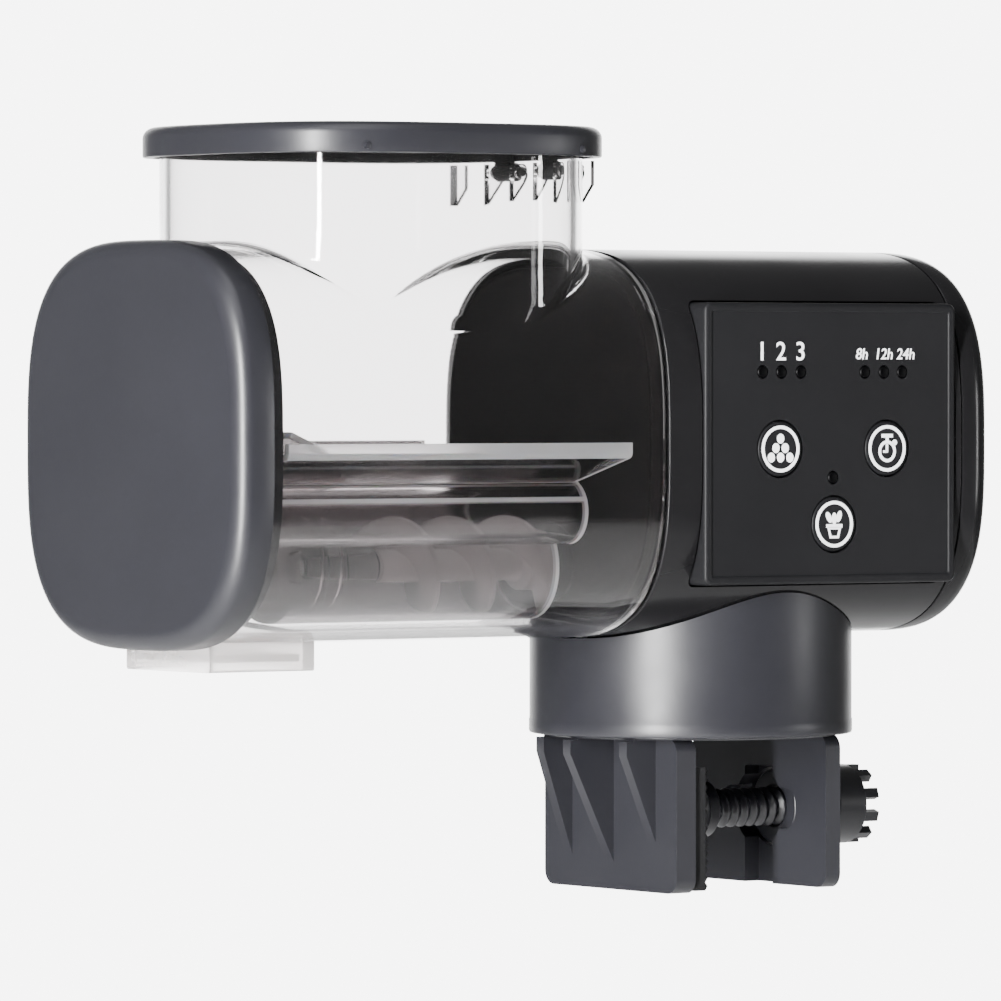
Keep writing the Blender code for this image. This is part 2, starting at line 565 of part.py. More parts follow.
def gear_train():
    """Motor pinion, two compound wheels and the output wheel, stacked up the barrel's middle."""
    step_out = GEAR_MODULE * (OUTPUT_TEETH + PINION_TEETH) / 2
    step_mid = GEAR_MODULE * (WHEEL_TEETH + PINION_TEETH) / 2
    second_z = AUGER_Z + step_out
    first_z = second_z + step_mid
    motor_z = first_z + step_mid
    layers = [(5.0, 8.0), (8.6, 10.8), (11.4, 13.4)]
    up = math.pi / 2
    half = math.pi
    drive = empty("auger_axis", SEAM_X, 0, AXIS_Z + AUGER_Z)
    feed_auger(drive)
    shaft = turned("drive_shaft", "x", (0, 0), [(-2.6, 2.0), (8.3, 2.0)], drive, STEEL, steps=24)
    join(shaft, box("shaft_square", (-7.0, -1.35, -1.35), (-2.0, 1.35, 1.35), **tool_kwargs(drive)))
    wheel = gear("output_gear", OUTPUT_TEETH, *layers[0], up + half / OUTPUT_TEETH, drive, NYLON)
    cut(wheel, turned("output_bore", "x", (0, 0), [(0, 2.0 + GAP), (10, 2.0 + GAP)], steps=24,
                      **tool_kwargs(drive)))
    spots = {"second": (second_z, layers[0], layers[1]), "first": (first_z, layers[1], layers[2])}
    for name, (z, pinion_layer, wheel_layer) in spots.items():
        marker = empty(f"{name}_gear_axis", SEAM_X, 0, AXIS_Z + z)
        body = gear(f"{name}_gear", WHEEL_TEETH, *wheel_layer, up + half / WHEEL_TEETH, marker, NYLON)
        pinion = gear(f"{name}_gear_pinion", PINION_TEETH, pinion_layer[0], wheel_layer[0] + 1, -up, marker,
                      None, cutters)
        join(body, pinion)
        cut(body, turned(f"{name}_bore", "x", (0, 0), [(0, 1.2), (20, 1.2)], steps=16,
                         **tool_kwargs(marker)))
        turned(f"{name}_gear_axle", "x", (0, z), [(3.0 + GAP, 0.9), (16.4, 0.9)], barrel, STEEL, steps=12)
    marker = empty("motor_axis", SEAM_X, 0, AXIS_Z + motor_z)
    pinion = gear("motor_pinion", PINION_TEETH, *layers[2], -up, marker, BRASS)
    join(pinion, turned("motor_shaft", "x", (0, 0), [(layers[2][0] + 0.3, 1.0), (17.8, 1.0)], steps=12,
                        **tool_kwargs(marker)))
    can = prism("drive_motor", "x", rounded_box_outline((-10, motor_z - 7.5), (10, motor_z + 7.5), 7.4, 6),
                17.4, 42.0, barrel, STEEL)
    cut(can, turned("motor_bore", "x", (0, motor_z), [(17, 1.3), (18.4, 1.3)], steps=16,
                    **tool_kwargs(barrel)))
    plate = box("gearbox_plate", (14.4, -11.5, -29.0), (16.2, 11.5, motor_z + 9.0), barrel, NYLON)
    cut(plate, turned("plate_motor_hole", "x", (0, motor_z), [(12, 1.5), (18, 1.5)], steps=16,
                      **tool_kwargs(barrel)))
    for name, (z, *_) in spots.items():
        cut(plate, turned(f"plate_{name}_hole", "x", (0, z), [(12, 1.2), (18, 1.2)], steps=16,
                          **tool_kwargs(barrel)))


def batteries():
    y = 18.9
    tray = box("battery_tray", (16.6, 11.2, -15.9), (59.0, 27.2, 15.9), barrel, PANEL)
    for index, z in enumerate((-7.7, 7.7)):
        cut(tray, turned(f"cell_room_{index}", "x", (y, z), [(17.1, 7.45), (64, 7.45)], steps=24,
                         **tool_kwargs(barrel)))
    room = BARREL - SHELL - 2 * GAP
    combine(tray, prism("tray_room", "x", squircle(room, room), 10, 64, **tool_kwargs(barrel)), 'INTERSECT')


def battery_contacts():
    """Sheet-metal springs at the closed end and the bridge under the cover."""
    for name, z in (("lower", -7.7), ("upper", 7.7)):
        turned(f"{name}_contact", "x", (18.9, z), [(17.4, 5.2), (17.7, 5.2), (18.3, 2.0)], barrel, STEEL,
               steps=16)


def clamp_bracket():
    roof = turned("clamp_bracket", "z", (0, 0), [(0, ROOF_R), (ROOF_T, ROOF_R), (ROOF_T, SPIGOT_R),
                                                 (ROOF_T + 3.6, SPIGOT_R)],
                  None, CHARCOAL, steps=48)
    jaw_outline = rounded_box_outline((-JAW_Y, JAW_BOTTOM), (JAW_Y, GAP), 2.5)
    for index, (low, high) in enumerate((FIXED_JAW, FAR_JAW)):
        join(roof, prism(f"jaw_{index}", "x", jaw_outline, low, high, None, None, cutters))
    join(roof, box("nut_wall", (FAR_JAW[1] - 0.5, -12, -22), (NUT_WALL[1], 12, 1.0), None, None, cutters))
    for index, (y, foot) in enumerate(JAW_RIBS):
        reach = -math.sqrt(RIB_R ** 2 - y ** 2)
        outline = [(1.0, FIXED_JAW[0] + 1), (1.0, reach + 1.6), (-GAP, reach + 1.6), (-GAP, reach),
                   (-2.7, reach),
                   (foot, FIXED_JAW[0]), (foot, FIXED_JAW[0] + 1)]
        join(roof, prism(f"jaw_rib_{index}", "y", outline, y - 1.1, y + 1.1, None, None, cutters))
    cut(roof, box("cross_upright", (FAR_JAW[0] - 1, -4.0, JAW_BOTTOM - 1), (FAR_JAW[1] - 0.1, 4.0, -5.7),
                  None, None, cutters))
    cut(roof, prism("cross_bar", "x", rounded_box_outline((-10.8, SCREW_Z - 3.6), (10.8, SCREW_Z + 3.6),
                                                          3.3), FAR_JAW[0] - 1,
                    FAR_JAW[1] - 0.2, None, None, cutters))
    cut(roof, turned("insert_hole", "x", (0, SCREW_Z), [(FAR_JAW[0] - 1, INSERT_R + GAP),
                                                        (NUT_WALL[1] + 1, INSERT_R + GAP)],
                     None, None, cutters))
    cut(roof, turned("swivel_screw_bore", "z", (0, 0), [(1.4, 2.3), (8, 2.3)], None, None, cutters, 20))


def swivel_hardware():
    top = ROOF_T + 3.6
    ring("friction_ring", "z", (0, 0), COLLAR_FLOOR[1] + GAP, top, SPIGOT_R + GAP, 14.4, None, RUBBER)
    ring("swivel_retainer", "z", (0, 0), top + GAP, top + 2.1, 2.5, 14.6, None, STEEL)
    turned("swivel_screw", "z", (0, 0), [(1.8, 1.9), (top + 2.4, 1.9), (top + 2.4, 4.4), (top + 4.6, 4.4),
                                         (top + 5.0, 3.8)],
           None, STEEL, steps=20)


def jaw_pad():
    """Anti-slip pad whose face is a row of teeth."""
    low, high, back = JAW_BOTTOM + 0.4, -4.7, FIXED_JAW[1] + GAP
    root, tip = back + 2.2, back + 3.4
    count = 14
    pitch = (high - low) / count
    outline = [(high, back), (low, back)]
    for tooth in range(count):
        outline += [(low + pitch * tooth, root), (low + pitch * (tooth + 0.5), tip)]
    outline.append((high, root))
    prism("jaw_pad", "y", outline, -JAW_Y + 0.8, JAW_Y - 0.8, None, RUBBER)


def clamp_screw():
    axis = empty("press_axis", 0, 0, SCREW_Z)
    turned("press_pad", "x", (0, 0), [(-4.0, 6.1), (-3.6, 6.5), (-2.3, 6.5)], axis, RUBBER, steps=32)
    disc = turned("press_disc", "x", (0, 0), [(-2.0, 6.5), (-0.6, 6.5), (0.6, 5.0), (3.0, 5.0)], axis,
                  CHARCOAL, steps=32)
    cut(disc, turned("disc_socket", "x", (0, 0), [(-1.0, 2.7), (4, 2.7)], axis, None, cutters, 20))
    turned("clamp_screw", "x", (0, 0), [(-0.4, 2.1), (-0.1, 2.4), (3.3, 2.4), (3.5, SCREW_R),
                                        (26.6, SCREW_R)], axis, CHARCOAL,
           steps=24)
    ring("thread_insert", "x", (0, SCREW_Z), FAR_JAW[1] + 0.1, NUT_WALL[1], SCREW_R + 0.1, INSERT_R, None,
         CHARCOAL)
    knob = turned("clamp_knob", "x", (0, 0), [(26.9, KNOB_R - 0.5), (27.4, KNOB_R), (33.0, KNOB_R)], axis,
                  CHARCOAL, steps=30)
    cut(knob, turned("knob_recess", "x", (0, 0), [(31.2, 5.2), (36, 5.2)], axis, None, cutters, 30))
    prongs = 10
    for index in range(prongs):
        angle = 2 * math.pi * (index + 0.5) / prongs
        prong = box(f"knob_prong_{index}", (32.5, 5.35, -0.8), (35.9, KNOB_R - 0.1, 0.8), axis, None,
                    cutters)
        prong.rotation_euler.x = angle
        join(knob, prong)
    turned("knob_screw", "x", (0, 0), [(31.2 + GAP, 2.6), (32.8, 2.6), (33.0, 2.2)], axis, STEEL, steps=20)


# --- the whole feeder -------------------------------------------------------------
clamp_bracket()
jaw_pad()
clamp_screw()
swivel_hardware()
collar()
housing_shell()
bulkhead()
control_panel()
for key, (key_x, key_z) in BUTTONS.items():
    button(key, key_x, key_z)
led_light_guide()
circuit_board()
gear_train()
batteries()
battery_contacts()
battery_cover(empty("cover_axis", SEAM_X + HOUSING_END, 0, AXIS_Z))
for cell_name, cell_z in (("lower", -7.7), ("upper", 7.7)):
    turned(f"{cell_name}_battery", "x", (18.9, cell_z), [(18.6, 6.9), (18.9, 7.1), (60.0, 7.1), (60.3, 6.8),
                                                         (60.3, 2.7), (61.4, 2.7)],
           barrel, CELL, steps=24)
food_container()
front_cap()
hopper_floor()
funnel_front()
auger_bearing()
outlet_gate(empty("gate_axis", SEAM_X + GATE_X, 0, AXIS_Z + GATE_Z))
hopper_lid(empty("lid_axis", SEAM_X + HINGE_X, 0, AXIS_Z + HINGE_Z))
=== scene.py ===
"""Looks of the automatic fish feeder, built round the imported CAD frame."""

import json
import math

import bmesh
import bpy
from mathutils import Matrix, Vector


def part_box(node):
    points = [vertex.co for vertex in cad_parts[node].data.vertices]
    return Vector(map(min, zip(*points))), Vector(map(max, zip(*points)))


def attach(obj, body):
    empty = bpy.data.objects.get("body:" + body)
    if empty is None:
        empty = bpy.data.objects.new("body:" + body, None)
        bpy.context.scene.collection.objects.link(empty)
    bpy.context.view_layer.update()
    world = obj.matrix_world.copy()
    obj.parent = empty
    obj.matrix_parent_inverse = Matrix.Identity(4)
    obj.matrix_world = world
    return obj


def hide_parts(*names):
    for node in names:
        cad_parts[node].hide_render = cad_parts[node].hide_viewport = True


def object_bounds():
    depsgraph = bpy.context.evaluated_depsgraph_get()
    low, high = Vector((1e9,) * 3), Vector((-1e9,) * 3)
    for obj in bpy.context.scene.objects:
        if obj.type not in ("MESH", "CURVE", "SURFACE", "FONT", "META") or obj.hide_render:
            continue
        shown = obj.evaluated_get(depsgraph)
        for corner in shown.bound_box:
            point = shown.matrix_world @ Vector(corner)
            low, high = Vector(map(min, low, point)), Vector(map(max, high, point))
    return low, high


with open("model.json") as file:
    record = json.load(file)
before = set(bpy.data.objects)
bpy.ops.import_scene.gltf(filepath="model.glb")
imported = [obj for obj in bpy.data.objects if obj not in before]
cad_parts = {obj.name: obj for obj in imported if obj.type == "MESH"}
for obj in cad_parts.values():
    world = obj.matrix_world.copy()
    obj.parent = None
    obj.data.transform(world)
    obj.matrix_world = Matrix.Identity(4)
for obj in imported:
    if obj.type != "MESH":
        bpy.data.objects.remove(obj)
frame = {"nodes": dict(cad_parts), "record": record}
cad_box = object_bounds()
nodes = frame["nodes"]

MM = 0.001
TAU = 2 * math.pi
VIEW_AZIMUTH = math.radians(34.94)
VIEW_ELEVATION = math.radians(0.847)
VIEW_DISTANCE = 1.3925
VIEW_LENS = 293.7

# --- places read from the frame, and the part's own sizes ---------------------------
shell_low, shell_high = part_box("housing_shell")
container_low, container_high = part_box("food_container")
cap_low, cap_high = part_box("front_cap")
lid_low, lid_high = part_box("hopper_lid")
panel_low, panel_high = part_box("control_panel")
collar_low, collar_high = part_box("swivel_collar")
cover_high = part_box("battery_cover")[1]
bracket_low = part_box("clamp_bracket")[0]
screw_low, screw_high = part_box("clamp_screw")
BARREL = (shell_high.z - shell_low.z) / 2
AXIS_Z = (shell_high.z + shell_low.z) / 2
SEAM_X = shell_low.x - 0.3 * MM
BARREL_ORIGIN = Vector((SEAM_X, 0, AXIS_Z))
SEAT = Vector((0, 0, 0))
SCREW_ORIGIN = Vector((0, 0, (screw_low.z + screw_high.z) / 2))
# millimetres from here on; barrel pieces count from the seam and the barrel's axis
GAP = 0.3
WALL = 1.6
SHELL = 2.2
SQUIRCLE = 3.1
HINGE = (46.2, -3.9)
KNUCKLE_Y = 7.35
LUG_Y = (3.7, 11.0, 18.5)
AUGER_Z = -21.0
AUGER_R = 8.6
AUGER_PITCH = 11.4
TROUGH_R = 9.5
OUTLET_X = (-78.2, -57.6)
OUTLET_Y = 12.7
OUTLET_BOTTOM = -37.3
OUTLET_DEPTH = 4.0
GATE = (-67.9, -35.15)
PANEL_FACE = -33.4
PANEL_BACK = PANEL_FACE + 2.0
FIELD_FACE = PANEL_FACE + 0.28
KEY_FACE = FIELD_FACE - 0.05
BUTTONS = {"amount": (23.3, -0.9), "interval": (46.0, -0.9), "feed": (34.7, -13.7)}
BUTTON_R = 4.65
LEDS = [(19.6, 12.1), (23.6, 12.1), (27.7, 12.1), (41.3, 12.1), (45.4, 12.1), (49.3, 12.1), (34.5, -5.8)]
JAW_Y = 19.3
JAW_BOTTOM = bracket_low.z / MM
FIXED_JAW = (-17.1, -13.0)
FAR_JAW = (14.7, 17.8)
NUT_WALL = (17.6, 21.2)
NUT_R = 6.5
SCREW_Z = SCREW_ORIGIN.z / MM


# --- camera -----------------------------------------------------------------------
def add_camera():
    """The view of the photograph: from the front left, level with the barrel, long lens."""
    level = math.cos(VIEW_ELEVATION)
    back = Vector((-math.sin(VIEW_AZIMUTH) * level, -math.cos(VIEW_AZIMUTH) * level,
                   math.sin(VIEW_ELEVATION)))
    right = Vector((math.cos(VIEW_AZIMUTH), -math.sin(VIEW_AZIMUTH), 0))
    up = back.cross(right)
    target = Vector((-36.4, 5.14, 40.6)) * MM
    camera = bpy.data.objects.new("camera", bpy.data.cameras.new("camera"))
    camera.data.sensor_width = 36
    camera.data.lens = VIEW_LENS
    camera.data.clip_end = 20
    turned_to_view = Matrix((right, up, back)).transposed().to_4x4()
    camera.matrix_world = Matrix.Translation(target + back * VIEW_DISTANCE) @ turned_to_view
    bpy.context.scene.collection.objects.link(camera)
    bpy.context.scene.camera = camera


# --- materials --------------------------------------------------------------------
class Look:
    """A node material under construction."""

    def __init__(self, name, colour, roughness, **sockets):
        self.material = bpy.data.materials.new(name)
        self.material.use_nodes = True
        self.tree = self.material.node_tree
        self.shader = self.tree.nodes["Principled BSDF"]
        self.coordinates = self.node("ShaderNodeTexCoord").outputs["Object"]
        self.shader.inputs["Base Color"].default_value = (*colour, 1)
        self.shader.inputs["Roughness"].default_value = roughness
        for socket, value in sockets.items():
            self.shader.inputs[socket.replace("_", " ")].default_value = value
        self.colour = colour
        self.roughness = roughness
        self.height = None

    def node(self, kind, **settings):
        made = self.tree.nodes.new(kind)
        for key, value in settings.items():
            setattr(made, key, value)
        return made

    def link(self, output, target):
        self.tree.links.new(output, target)

    def noise(self, scale, detail=4.0, stretch=(1, 1, 1), roughness=0.6):
        mapping = self.node("ShaderNodeMapping")
        mapping.inputs["Scale"].default_value = stretch
        self.link(self.coordinates, mapping.inputs["Vector"])
        made = self.node("ShaderNodeTexNoise")
        made.inputs["Scale"].default_value = scale
        made.inputs["Detail"].default_value = detail
        made.inputs["Roughness"].default_value = roughness
        self.link(mapping.outputs["Vector"], made.inputs["Vector"])
        return made.outputs["Fac"]

    def spread(self, source, low, high, start=0.3, end=0.7):
        """Maps a noise to a number between low and high."""
        made = self.node("ShaderNodeMapRange")
        made.inputs["From Min"].default_value = start
        made.inputs["From Max"].default_value = end
        made.inputs["To Min"].default_value = low
        made.inputs["To Max"].default_value = high
        self.link(source, made.inputs["Value"])
        return made.outputs["Result"]

    def vary_roughness(self, scale, amount, stretch=(1, 1, 1)):
        mottled = self.noise(scale, 5.0, stretch)
        uneven = self.spread(mottled, max(self.roughness - amount, 0.02), self.roughness + amount)
        self.link(uneven, self.shader.inputs["Roughness"])
        return self

    def vary_colour(self, scale, amount, stretch=(1, 1, 1)):
        mix = self.node("ShaderNodeMix", data_type='RGBA')
        mix.inputs["A"].default_value = (*[c * (1 - amount) for c in self.colour], 1)
        mix.inputs["B"].default_value = (*[min(c * (1 + amount), 1) for c in self.colour], 1)
        self.link(self.spread(self.noise(scale, 5.0, stretch), 0, 1), mix.inputs["Factor"])
        self.link(mix.outputs["Result"], self.shader.inputs["Base Color"])
        return self

    def bump(self, scale, strength, distance=0.00005, stretch=(1, 1, 1), detail=3.0):
        made = self.node("ShaderNodeBump")
        made.inputs["Strength"].default_value = strength
        made.inputs["Distance"].default_value = distance
        self.link(self.noise(scale, detail, stretch), made.inputs["Height"])
        if self.height:
            self.link(self.height, made.inputs["Normal"])
        self.height = made.outputs["Normal"]
        self.link(self.height, self.shader.inputs["Normal"])
        return self


def build_looks():
    charcoal = Look("charcoal_satin", (0.0070, 0.0070, 0.0086), 0.36, Specular_IOR_Level=0.22)
    charcoal.vary_roughness(60, 0.05).vary_colour(18, 0.06)
    charcoal.bump(2600, 0.25, 0.00003).bump(9000, 0.2, 0.00002)
    gloss = Look("housing_gloss", (0.0040, 0.0039, 0.0042), 0.2, Specular_IOR_Level=0.10)
    gloss.vary_roughness(35, 0.05).vary_colour(25, 0.15).bump(400, 0.05, 0.00003)
    panel = Look("panel_satin", (0.0040, 0.0040, 0.0044), 0.45, Specular_IOR_Level=0.06)
    panel.vary_roughness(80, 0.06).vary_colour(30, 0.12).bump(3200, 0.15, 0.00002)
    bulkhead = Look("bulkhead_black", (0.0068, 0.0056, 0.0057), 0.5, Specular_IOR_Level=0.05)
    bulkhead.vary_roughness(40, 0.08).vary_colour(15, 0.15).bump(1800, 0.02, 0.00001)
    clear = Look("clear_plastic", (0.81, 0.80, 0.803), 0.03,
                 Transmission_Weight=1.0, IOR=1.33, Specular_IOR_Level=0.5)
    clear.vary_roughness(12, 0.02).bump(30, 0.04, 0.0001)
    edge = Look("clear_edge", (0.80, 0.78, 0.78), 0.06, Transmission_Weight=1.0, IOR=1.45)
    edge.vary_roughness(30, 0.03).bump(60, 0.04, 0.0001)
    # Pale frosted plastic for cut sheet edges and the outlet gate; on the hopper floor it also serves as
    # painted highlight lines.
    frosted = Look("frosted_edge_and_highlight", (0.93, 0.91, 0.91), 0.35,
                   Transmission_Weight=0.55, IOR=1.4, Subsurface_Weight=0.1)
    frosted.vary_roughness(60, 0.08).bump(600, 0.1, 0.00003)
    skirt = Look("frosted_skirt", (0.74, 0.71, 0.70), 0.3, Transmission_Weight=0.8, IOR=1.35)
    skirt.vary_roughness(60, 0.08).bump(600, 0.1, 0.00003)
    # The hopper floor's sheet, used for its near half; the far half takes the near-black copy below, which
    # is painted shade.
    sheet = Look("clear_sheet", (0.55, 0.51, 0.515), 0.10,
                 Transmission_Weight=1.0, IOR=1.36, Specular_IOR_Level=0.7)
    sheet.vary_roughness(20, 0.04).bump(45, 0.06, 0.0001)
    # Painted shade: a near-black copy of the floor sheet for the floor's far half, behind the auger.
    shaded_copy = Look("shaded_sheet_copy", (0.024, 0.0205, 0.021), 0.14,
                  Transmission_Weight=1.0, IOR=1.36, Specular_IOR_Level=0.5)
    shaded_copy.vary_roughness(20, 0.04).bump(45, 0.06, 0.0001)
    milky = Look("milky_plastic", (0.80, 0.74, 0.74), 0.45,
                 Transmission_Weight=0.25, IOR=1.45, Specular_IOR_Level=0.4)
    milky.vary_roughness(60, 0.08).vary_colour(30, 0.06).bump(900, 0.15, 0.00004)
    rubber = Look("rubber_black", (0.0035, 0.0035, 0.0038), 0.7, Specular_IOR_Level=0.12)
    rubber.vary_roughness(90, 0.1).vary_colour(60, 0.2).bump(2400, 0.45, 0.00005)
    steel = Look("steel", (0.46, 0.46, 0.48), 0.28, Metallic=1.0)
    steel.vary_roughness(120, 0.08, (1, 1, 12)).bump(1500, 0.15, 0.00002, (1, 1, 20))
    brass = Look("brass", (0.62, 0.44, 0.17), 0.28, Metallic=1.0)
    brass.vary_roughness(120, 0.08).vary_colour(60, 0.1).bump(1500, 0.12, 0.00002)
    nylon = Look("nylon", (0.66, 0.62, 0.54), 0.45)
    nylon.vary_roughness(80, 0.07).vary_colour(40, 0.05).bump(1600, 0.2, 0.00003)
    board = Look("solder_mask", (0.012, 0.11, 0.04), 0.35)
    board.vary_roughness(150, 0.1).vary_colour(140, 0.25).bump(900, 0.2, 0.00003)
    cell = Look("cell_sleeve", (0.02, 0.05, 0.14), 0.3)
    cell.vary_roughness(60, 0.08).vary_colour(30, 0.1).bump(700, 0.1, 0.00003)
    smoked = Look("smoked_plastic", (0.0004, 0.0004, 0.0005), 0.4, Specular_IOR_Level=0.03)
    smoked.vary_roughness(60, 0.05).vary_colour(40, 0.1).bump(700, 0.04, 0.00002)
    ink = Look("white_ink", (0.62, 0.62, 0.63), 0.5, Specular_IOR_Level=0.2)
    ink.vary_roughness(300, 0.06).vary_colour(200, 0.03).bump(3000, 0.1, 0.00001)
    return {"clear_plastic": clear, "clear_edge": edge, "frosted_edge_and_highlight": frosted, "frosted_skirt": skirt,
            "clear_sheet": sheet, "shaded_sheet_copy": shaded_copy, "milky_plastic": milky, "smoked_plastic": smoked,
            "charcoal_plastic": charcoal, "gloss_black": gloss, "panel_black": panel, "bulkhead": bulkhead,
            "white_ink": ink, "rubber": rubber, "steel": steel, "brass": brass, "nylon": nylon,
            "circuit_board": board, "cell_wrap": cell}


looks = {name: look.material for name, look in build_looks().items()}
SPECIAL = {"bulkhead": "bulkhead", "hinge_pin_near": "charcoal_plastic",
           "hinge_pin_far": "charcoal_plastic",
           "hopper_floor": "clear_sheet", "funnel_front": "clear_sheet", "auger_bearing": "clear_sheet"}


def dress_cad_nodes():
    for entry in frame["record"]["subparts"]:
        name = entry["node"]
        look = looks[SPECIAL.get(name, entry["material_slot"])]
        mesh = nodes[name].data
        mesh.materials.clear()
        mesh.materials.append(look)


# --- shape helpers (metres) -------------------------------------------------------
AXES = {"x": (Vector((0, 1, 0)), Vector((0, 0, 1)), Vector((1, 0, 0))),
        "y": (Vector((0, 0, 1)), Vector((1, 0, 0)), Vector((0, 1, 0))),
        "z": (Vector((1, 0, 0)), Vector((0, 1, 0)), Vector((0, 0, 1)))}
FINE = 240              # points round an outline
ROUND_STEPS = 10        # steps round a quarter turn
SHARP_ANGLE = 32        # degrees; edges that bend more are shown sharp


def squircle(half_a, half_b=None, segments=FINE):
    """Points round a rounded square with bulging sides, at even angles."""
    half_b = half_a if half_b is None else half_b
    points = []
    for step in range(segments):
        cosine, sine = math.cos(TAU * step / segments), math.sin(TAU * step / segments)
        reach = (abs(cosine) ** SQUIRCLE + abs(sine) ** SQUIRCLE) ** (-1 / SQUIRCLE)
        points.append((half_a * reach * cosine, half_b * reach * sine))
    return points


def squircles(*pairs):
    """Rings for loft from (distance, half width) pairs."""
    return [(distance, squircle(half)) for distance, half in pairs]


def circle(radius, centre=(0, 0), segments=FINE):
    a, b = centre
    return [(a + radius * math.cos(TAU * i / segments), b + radius * math.sin(TAU * i / segments))
            for i in range(segments)]


def rounded_box(low, high, radius, steps=6):
    centres = [(high[0] - radius, high[1] - radius), (low[0] + radius, high[1] - radius),
               (low[0] + radius, low[1] + radius), (high[0] - radius, low[1] + radius)]
    points = []
    for quarter, (a, b) in enumerate(centres):
        for step in range(steps + 1):
            angle = math.pi / 2 * (quarter + step / steps)
            points.append((a + radius * math.cos(angle), b + radius * math.sin(angle)))
    return points


def piece_from(bm, name, look=None, smooth=SHARP_ANGLE):
    bmesh.ops.recalc_face_normals(bm, faces=bm.faces)
    mesh = bpy.data.meshes.new(name)
    bm.to_mesh(mesh)
    bm.free()
    mesh.shade_smooth()
    mesh.set_sharp_from_angle(angle=math.radians(smooth))
    made = bpy.data.objects.new(name, mesh)
    bpy.context.scene.collection.objects.link(made)
    if look:
        mesh.materials.append(looks[look])
    return made


def bridge(bm, low, high):
    """Quads between two closed loops of equally many points."""
    for i in range(len(low)):
        j = (i + 1) % len(low)
        bm.faces.new((low[i], low[j], high[j], high[i]))


def loft(name, axis, rings, look=None, origin=BARREL_ORIGIN, loop=False, smooth=SHARP_ANGLE):
    """Bridges rings of (distance, points) in millimetres from origin; loop joins the last to the first."""
    first, second, along = AXES[axis]
    bm = bmesh.new()
    loops = []
    for distance, points in rings:
        loops.append([bm.verts.new(origin + (first * a + second * b + along * distance) * MM)
                      for a, b in points])
    pairs = list(zip(loops, loops[1:] + loops[:1])) if loop else list(zip(loops, loops[1:]))
    for low, high in pairs:
        bridge(bm, low, high)
    if not loop:
        bm.faces.new(loops[0])
        bm.faces.new(loops[-1])
    return piece_from(bm, name, look, smooth)


def turned(name, axis, profile, look=None, origin=BARREL_ORIGIN, centre=(0, 0), loop=False, steps=96):
    """Spins (distance, radius) points round the axis through centre; loop closes a tube's section."""
    rings = [(distance, circle(radius, centre, steps)) for distance, radius in profile]
    return loft(name, axis, rings, look, origin, loop)


def prism(name, axis, outline, low, high, look=None, origin=BARREL_ORIGIN):
    return loft(name, axis, [(low, outline), (high, outline)], look, origin)


def box(name, low, high, look=None, origin=BARREL_ORIGIN):
    outline = [(low[1], low[2]), (high[1], low[2]), (high[1], high[2]), (low[1], high[2])]
    return prism(name, "x", outline, low[0], high[0], look, origin)


def soften(piece, width, segments=3):
    """Rounds a piece's sharp edges."""
    bevel = piece.modifiers.new("soft_edges", 'BEVEL')
    bevel.width = width * MM
    bevel.segments = segments
    bevel.limit_method = 'ANGLE'
    bevel.angle_limit = math.radians(38)
    bevel.miter_outer = 'MITER_ARC'
    apply_modifiers(piece)
    even_normals(piece)
    return piece


def even_normals(piece):
    """Keeps large faces flat next to rounded edges."""
    even = piece.modifiers.new("even_normals", 'WEIGHTED_NORMAL')
    even.weight = 100
    even.keep_sharp = True


def combine(target, tool, operation):
    """Applies a Boolean and removes its tool."""
    modifier = target.modifiers.new("cut", 'BOOLEAN')
    modifier.object = tool
    modifier.operation = operation
    modifier.solver = 'EXACT'
    apply_modifiers(target)
    bpy.data.objects.remove(tool, do_unlink=True)


def drill(target, axis, radius, low, high, centre=(0, 0), origin=BARREL_ORIGIN, steps=48):
    """Cuts a round hole along the axis through centre."""
    hole = turned("hole", axis, [(low, radius), (high, radius)], None, origin, centre, steps=steps)
    combine(target, hole, 'DIFFERENCE')


def apply_modifiers(target, smooth=SHARP_ANGLE):
    depsgraph = bpy.context.evaluated_depsgraph_get()
    mesh = bpy.data.meshes.new_from_object(target.evaluated_get(depsgraph))
    target.modifiers.clear()
    old = target.data
    target.data = mesh
    bpy.data.meshes.remove(old)
    mesh.shade_smooth()
    mesh.set_sharp_from_angle(angle=math.radians(smooth))


def place(piece, body, slot, *replaced):
    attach(piece, body)
    if replaced:
        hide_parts(*replaced)
    return piece


# --- opaque shells ----------------------------------------------------------------
def front_cap():
    half = (cap_high.z - cap_low.z) / 2 / MM
    front, back = (cap_low.x - SEAM_X) / MM, (container_low.x - SEAM_X) / MM - 0.3
    edge, shallow = 3.4, 0.82
    plug, plug_inside, plug_depth, wall = 31.1, 29.1, 2.9, 2.6
    rings = squircles((front + 0.02, 4), (front + 0.08, 12), (front + 0.2, 20), (front + 0.42, 26))
    for step in range(ROUND_STEPS + 1):
        angle = math.pi / 2 * step / ROUND_STEPS
        along = front + 0.6 + edge * shallow * (1 - math.cos(angle))
        rings += squircles((along, half - edge + edge * math.sin(angle)))
    rings += squircles((back - 0.35, half), (back - 0.1, half - 0.1), (back, half - 0.35), (back, plug),
                       (back + plug_depth, plug), (back + plug_depth, plug_inside),
                       (front + wall, plug_inside))
    place(loft("front_cap_shell", "x", rings, "charcoal_plastic"), "head", "charcoal_plastic", "front_cap")


